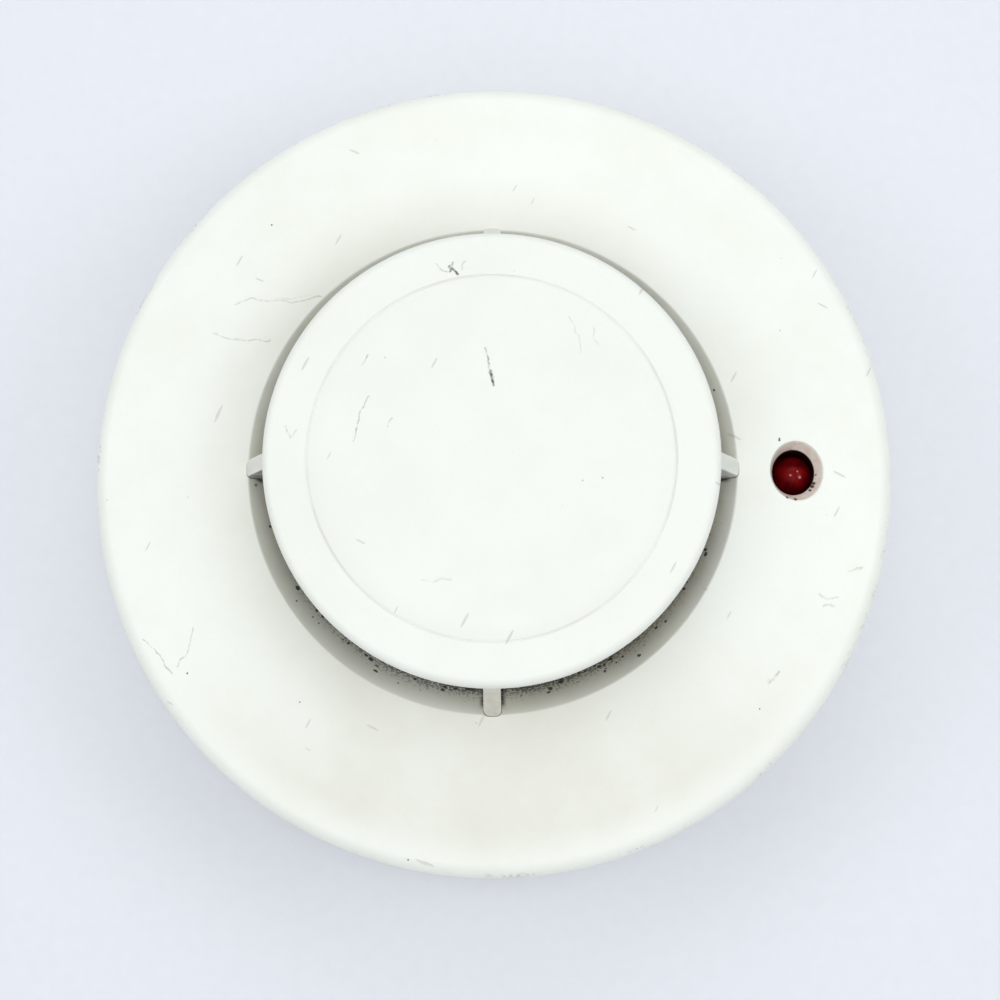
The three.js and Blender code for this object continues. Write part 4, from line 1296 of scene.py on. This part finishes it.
def build_chassis():
    soft = 0.3 * MM
    rim = 1.8 * MM
    profile = [
        (0, CHASSIS_BOTTOM),
        *divided((0, CHASSIS_BOTTOM), (CHASSIS_RADIUS - soft, CHASSIS_BOTTOM), 6),
        *outer_bottom(CHASSIS_RADIUS, CHASSIS_BOTTOM, soft, 4),
        *outer_top(CHASSIS_RADIUS, CHASSIS_RIM_TOP, soft, 4),
        *inner_top(CHASSIS_RADIUS - rim, CHASSIS_RIM_TOP, soft, 4),
        (CHASSIS_RADIUS - rim, CHASSIS_TOP),
        (0, CHASSIS_TOP),
    ]
    plate = turned("chassis_plate", profile)
    at = (COVER_SCREW_CIRCLE, 0)
    root = CHASSIS_TOP - SUNK
    below = CHASSIS_BOTTOM - OVERLAP
    pillar_top = board_low.z
    bosses = four_rods(CHASSIS_BOSS_RADIUS, root, CHASSIS_RIM_TOP, at, COVER_SCREW_ANGLE)
    pillars = four_rods(PILLAR_RADIUS, root, pillar_top - GAP, BLADE_SCREW_AT, CONTACT_ANGLE)
    recesses = four_rods(PILLAR_RADIUS, below, CHASSIS_BOTTOM + RECESS_DEPTH, at, COVER_SCREW_ANGLE)
    carved(plate, joined=bosses + pillars, cut=recesses)
    holes = four_rods(SCREW_HOLE, below, CHASSIS_RIM_TOP + OVERLAP, at, COVER_SCREW_ANGLE)
    carved(plate, cut=holes)
    holes = four_rods(SCREW_HOLE, below, pillar_top + OVERLAP, BLADE_SCREW_AT, CONTACT_ANGLE)
    carved(plate, cut=holes)
    place(plate, "chassis_plate", "head", "chassis_plastic", "rear_chassis")


def build_seal():
    """A rubber ring with a rounded lip below."""
    low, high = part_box("seal_ring")
    inner, outer = SPIGOT_INNER, high.x
    round_below = (outer - inner) / 2
    bottom = arc(((inner + outer) / 2, low.z + round_below), round_below, 180, 360, 10)
    soft = 0.15 * MM
    top = outer_top(outer, high.z, soft, 3)
    top += inner_top(inner, high.z, soft, 3)
    seal = turned("seal", bottom + top)
    place(seal, "seal_lip", "head", "seal_rubber", "seal_ring", crisp=SMALL_CRISP)


def build_label():
    low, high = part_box("rating_label")
    soft = 0.04 * MM
    edge = outer_bottom(high.x, low.z, soft, 2)
    label = turned("label", [(0, low.z), *edge, (high.x, high.z), (0, high.z)], 128)
    place(label, "label_film", "head", "label_film", "rating_label")


# ---------------------------------------------------------------- circuit board and components

NOTCH_CLEARANCE = 0.7 * MM  # between the board and the cover's bosses
LEAD_RADIUS = 0.25 * MM
LAMP_LEAD_OFFSET = 1.27 * MM
COMPONENT_ROUND = 0.12 * MM
SOLDER_GAP = 0.02 * MM
RESISTOR_END = 0.45 * MM
CAN_RADIUS = 3.15 * MM


def build_board():
    radius, low, high = board_high.y, board_low.z, board_high.z
    board = rod(radius, low, high, segments=SEGMENTS)
    below, above = low - OVERLAP, high + OVERLAP
    notch, at = COVER_BOSS_RADIUS + NOTCH_CLEARANCE, (COVER_SCREW_CIRCLE, 0)
    carved(board, cut=four_rods(notch, below, above, at, COVER_SCREW_ANGLE))
    lead_holes = [
        rod(LEAD_RADIUS + GAP, below, above, (LAMP_X + side * LAMP_LEAD_OFFSET, 0)) for side in (-1, 1)
    ]
    carved(board, cut=lead_holes)
    place(board, "board", "head", "board_laminate", "main_circuit_board")


def gull_wing(width, reach, drop):
    """One bent lead that leaves a chip's side along +X at z = 0 and ends flat on the board below."""
    thick = 0.15 * MM
    outline = [
        (-0.2 * MM, -thick / 2),
        (reach * 0.35, -thick / 2),
        (reach * 0.5, -drop),
        (reach, -drop),
        (reach, -drop + thick),
        (reach * 0.5 + thick, -drop + thick),
        (reach * 0.35 + thick, thick / 2),
        (-0.2 * MM, thick / 2),
    ]
    return extruded("lead", outline, -width / 2, width / 2, UPRIGHT)


def row_of_leads(node, turn, count, pitch, width, reach=0.7 * MM):
    """Leads along one side of a chip: the side that faces +X once the leads are turned."""
    low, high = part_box(node)
    centre = (low + high) / 2
    half = (high.x - low.x) / 2 if turn % 180 == 0 else (high.y - low.y) / 2
    drop = centre.z - board_high.z - SOLDER_GAP
    leads = []
    for i in range(count):
        lead = gull_wing(width, reach, drop)
        along = (i - (count - 1) / 2) * pitch
        moved(lead, half, along).data.transform(about_z(turn))
        leads.append(moved(lead, *centre))
    return leads


# Chips, with the sides that their leads leave, the leads on each side, their pitch and their width.
CHIP_LEADS = [
    ("microcontroller_chip", (0, 90, 180, 270), 8, 0.8 * MM, 0.35 * MM),
    ("line_interface_chip", (90, 270), 7, 1.27 * MM, 0.42 * MM),
    ("bridge_rectifier", (0, 180), 2, 2.4 * MM, 0.9 * MM),
    ("surge_suppressor", (0, 180), 1, 0.0, 2.0 * MM),
]


def build_chips():
    for node, sides, count, pitch, width in CHIP_LEADS:
        body = bevelled(copied(node), COMPONENT_ROUND, 40, 2)
        place(body, f"{node}_body", "head", "component_black", node, crisp=SMALL_CRISP)
        leads = [lead for side in sides for lead in row_of_leads(node, side, count, pitch, width)]
        place(merged(leads), f"{node}_leads", "head", "nickel_plate", crisp=SMALL_CRISP)


def build_resistors():
    for i in QUARTER_TURNS:
        node = f"resistor_{i + 1}"
        low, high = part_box(node)
        body = bevelled(copied(node), COMPONENT_ROUND / 2, 40, 2)
        place(body, f"{node}_body", "head", "component_black", node, crisp=SMALL_CRISP)
        grow = 0.03 * MM
        ends = []
        for x in (low.x, high.x - RESISTOR_END):
            end = box_piece(
                (x - grow, x + RESISTOR_END + grow),
                (low.y - grow, high.y + grow),
                (board_high.z + SOLDER_GAP, high.z + grow),
            )
            ends.append(bevelled(end, 0.04 * MM, 40, 2))
        place(merged(ends), f"{node}_ends", "head", "nickel_plate", crisp=SMALL_CRISP)


def build_capacitor():
    """An aluminium can with a crimp near its foot and a shallow dish in its top."""
    centre, low, high = axis_of("electrolytic_capacitor")
    soft, foot = 0.5 * MM, 0.2 * MM
    crimp, crimp_round, crimp_half = low + 1.3 * MM, 0.3 * MM, 0.4 * MM
    dish = high - 0.15 * MM
    profile = [
        (0, low),
        *outer_bottom(CAN_RADIUS, low, foot, 3),
        (CAN_RADIUS, crimp - crimp_half),
        *arc((CAN_RADIUS + 0.05 * MM, crimp), crimp_round, 240, 120, 6),
        (CAN_RADIUS, crimp + crimp_half),
        *outer_top(CAN_RADIUS, high, soft, 6),
        (CAN_RADIUS - 0.9 * MM, dish),
        (0, dish),
    ]
    can = turned("can", profile, 64)
    moved(can, centre.x, centre.y)
    node = "electrolytic_capacitor"
    place(can, "capacitor_can", "head", "capacitor_can", node, crisp=SMALL_CRISP)


def build_leads():
    for node in ("thermistor_lead_1", "thermistor_lead_2", "lamp_lead_1", "lamp_lead_2"):
        centre, low, high = axis_of(node)
        piece = rod(LEAD_RADIUS, low, high, (centre.x, centre.y), 24)
        place(piece, f"{node}_wire", "head", "nickel_plate", node, crisp=SMALL_CRISP)


# ---------------------------------------------------------------- stage, light and camera

CAMERA_DISTANCE = 0.3
CAMERA_TILT = 7.66  # degrees off the vertical, towards -Y
CAMERA_SIDE = 0.67  # degrees off the vertical, towards +X
FOCAL_LENGTH = 84.05
VIEW_SHIFT = (0.0068, -0.0238)
FLOOR_SHEET = 8.0


def add_camera():
    tilt, side = math.radians(CAMERA_TILT), math.radians(CAMERA_SIDE)
    away = Vector((math.sin(side), -math.sin(tilt), math.cos(tilt))) * CAMERA_DISTANCE
    back = away.normalized()
    right = Vector((0, 1, 0)).cross(back).normalized()
    turn = Matrix((right, back.cross(right), back)).transposed().to_4x4()
    data = bpy.data.cameras.new("camera")
    data.lens = FOCAL_LENGTH
    data.sensor_width = 36
    data.shift_x, data.shift_y = VIEW_SHIFT
    data.clip_start = 0.01
    camera = bpy.data.objects.new("camera", data)
    camera.matrix_world = Matrix.Translation(away + Vector((0, 0, RIM_HEIGHT))) @ turn
    bpy.context.scene.collection.objects.link(camera)
    bpy.context.scene.camera = camera


def add_floor():
    """A sheet of pale paper that turns white far away, where it meets the backdrop."""
    bm = bmesh.new()
    bmesh.ops.create_grid(bm, x_segments=8, y_segments=8, size=FLOOR_SHEET / 2)
    floor = to_object("floor", bm)
    floor.location.z = base_low.z - 0.1 * MM
    shader = Shader("floor_paper")
    grain = shader.noise(2 * MM, 4, 0.6)
    color = shader.mix(grain, rgb(230, 233, 240), rgb(224, 227, 234))
    far = shader.fade(shader.vector("LENGTH", shader.place), 0.15, 0.7)
    color = shader.mix(far, color, rgb(254, 254, 255))
    shader.bump(shader.noise(0.7 * MM, 3, 0.6), 0.02 * MM, 0.4)
    floor.data.materials.append(shader.finish(color, 0.75))


def add_soft_light(name, direction, distance, size, power):
    """A round soft light that shines at the object from a direction."""
    data = bpy.data.lights.new(name, "AREA")
    data.shape = "DISK"
    data.size = size
    data.energy = power
    light = bpy.data.objects.new(name, data)
    towards = Vector(direction).normalized()
    light.location = towards * distance
    light.rotation_euler = towards.to_track_quat("Z", "Y").to_euler()
    bpy.context.scene.collection.objects.link(light)


def add_world(overhead, low, horizon):
    """A white room all round: brightest overhead, dimmer low down, with a thin pale horizon."""
    world = bpy.data.worlds.new("studio")
    world.use_nodes = True
    nodes, links = world.node_tree.nodes, world.node_tree.links
    split = nodes.new("ShaderNodeSeparateXYZ")
    links.new(nodes.new("ShaderNodeTexCoord").outputs["Generated"], split.inputs[0])
    brighter = nodes.new("ShaderNodeMath")
    brighter.operation = "MAXIMUM"
    # Each pair of limits is the height and the strength there.
    pale_band, gradient = ((0.03, horizon), (0.1, 0)), ((0, low), (0.8, overhead))
    for socket, (start, end) in zip(brighter.inputs, (pale_band, gradient)):
        change = nodes.new("ShaderNodeMapRange")
        links.new(split.outputs["Z"], change.inputs["Value"])
        change.inputs["From Min"].default_value, change.inputs["To Min"].default_value = start
        change.inputs["From Max"].default_value, change.inputs["To Max"].default_value = end
        links.new(change.outputs["Result"], socket)
    background = nodes["Background"]
    background.inputs["Color"].default_value = (0.98, 0.99, 1.0, 1.0)
    links.new(brighter.outputs[0], background.inputs["Strength"])
    bpy.context.scene.world = world


def add_studio():
    add_world(0.86, 0.27, 0.75)
    add_soft_light("key_light", (0.03, 0.0, 1.0), 0.9, 0.12, 0.45)
    add_soft_light("back_light", (0.05, 0.60, 0.80), 0.55, 0.35, 0.32)
    add_soft_light("front_light", (0.05, -0.36, 0.93), 0.7, 0.35, 0.28)
    add_soft_light("left_light", (-0.64, 0.0, 0.77), 0.7, 0.35, 0.46)
    add_soft_light("right_light", (0.64, 0.0, 0.77), 0.7, 0.35, 0.55)
    bpy.context.scene.view_settings.view_transform = "Standard"


# ---------------------------------------------------------------- the whole

add_camera()
add_floor()
add_studio()
MATERIALS = build_materials()
build_cover()
build_cap()
build_chamber_floor()
build_thermistor()
build_lamp()
build_base()
build_screws()
build_lock_screw()
build_sheet_pieces()
build_chassis()
build_seal()
build_label()
build_board()
build_chips()
build_resistors()
build_capacitor()
build_leads()
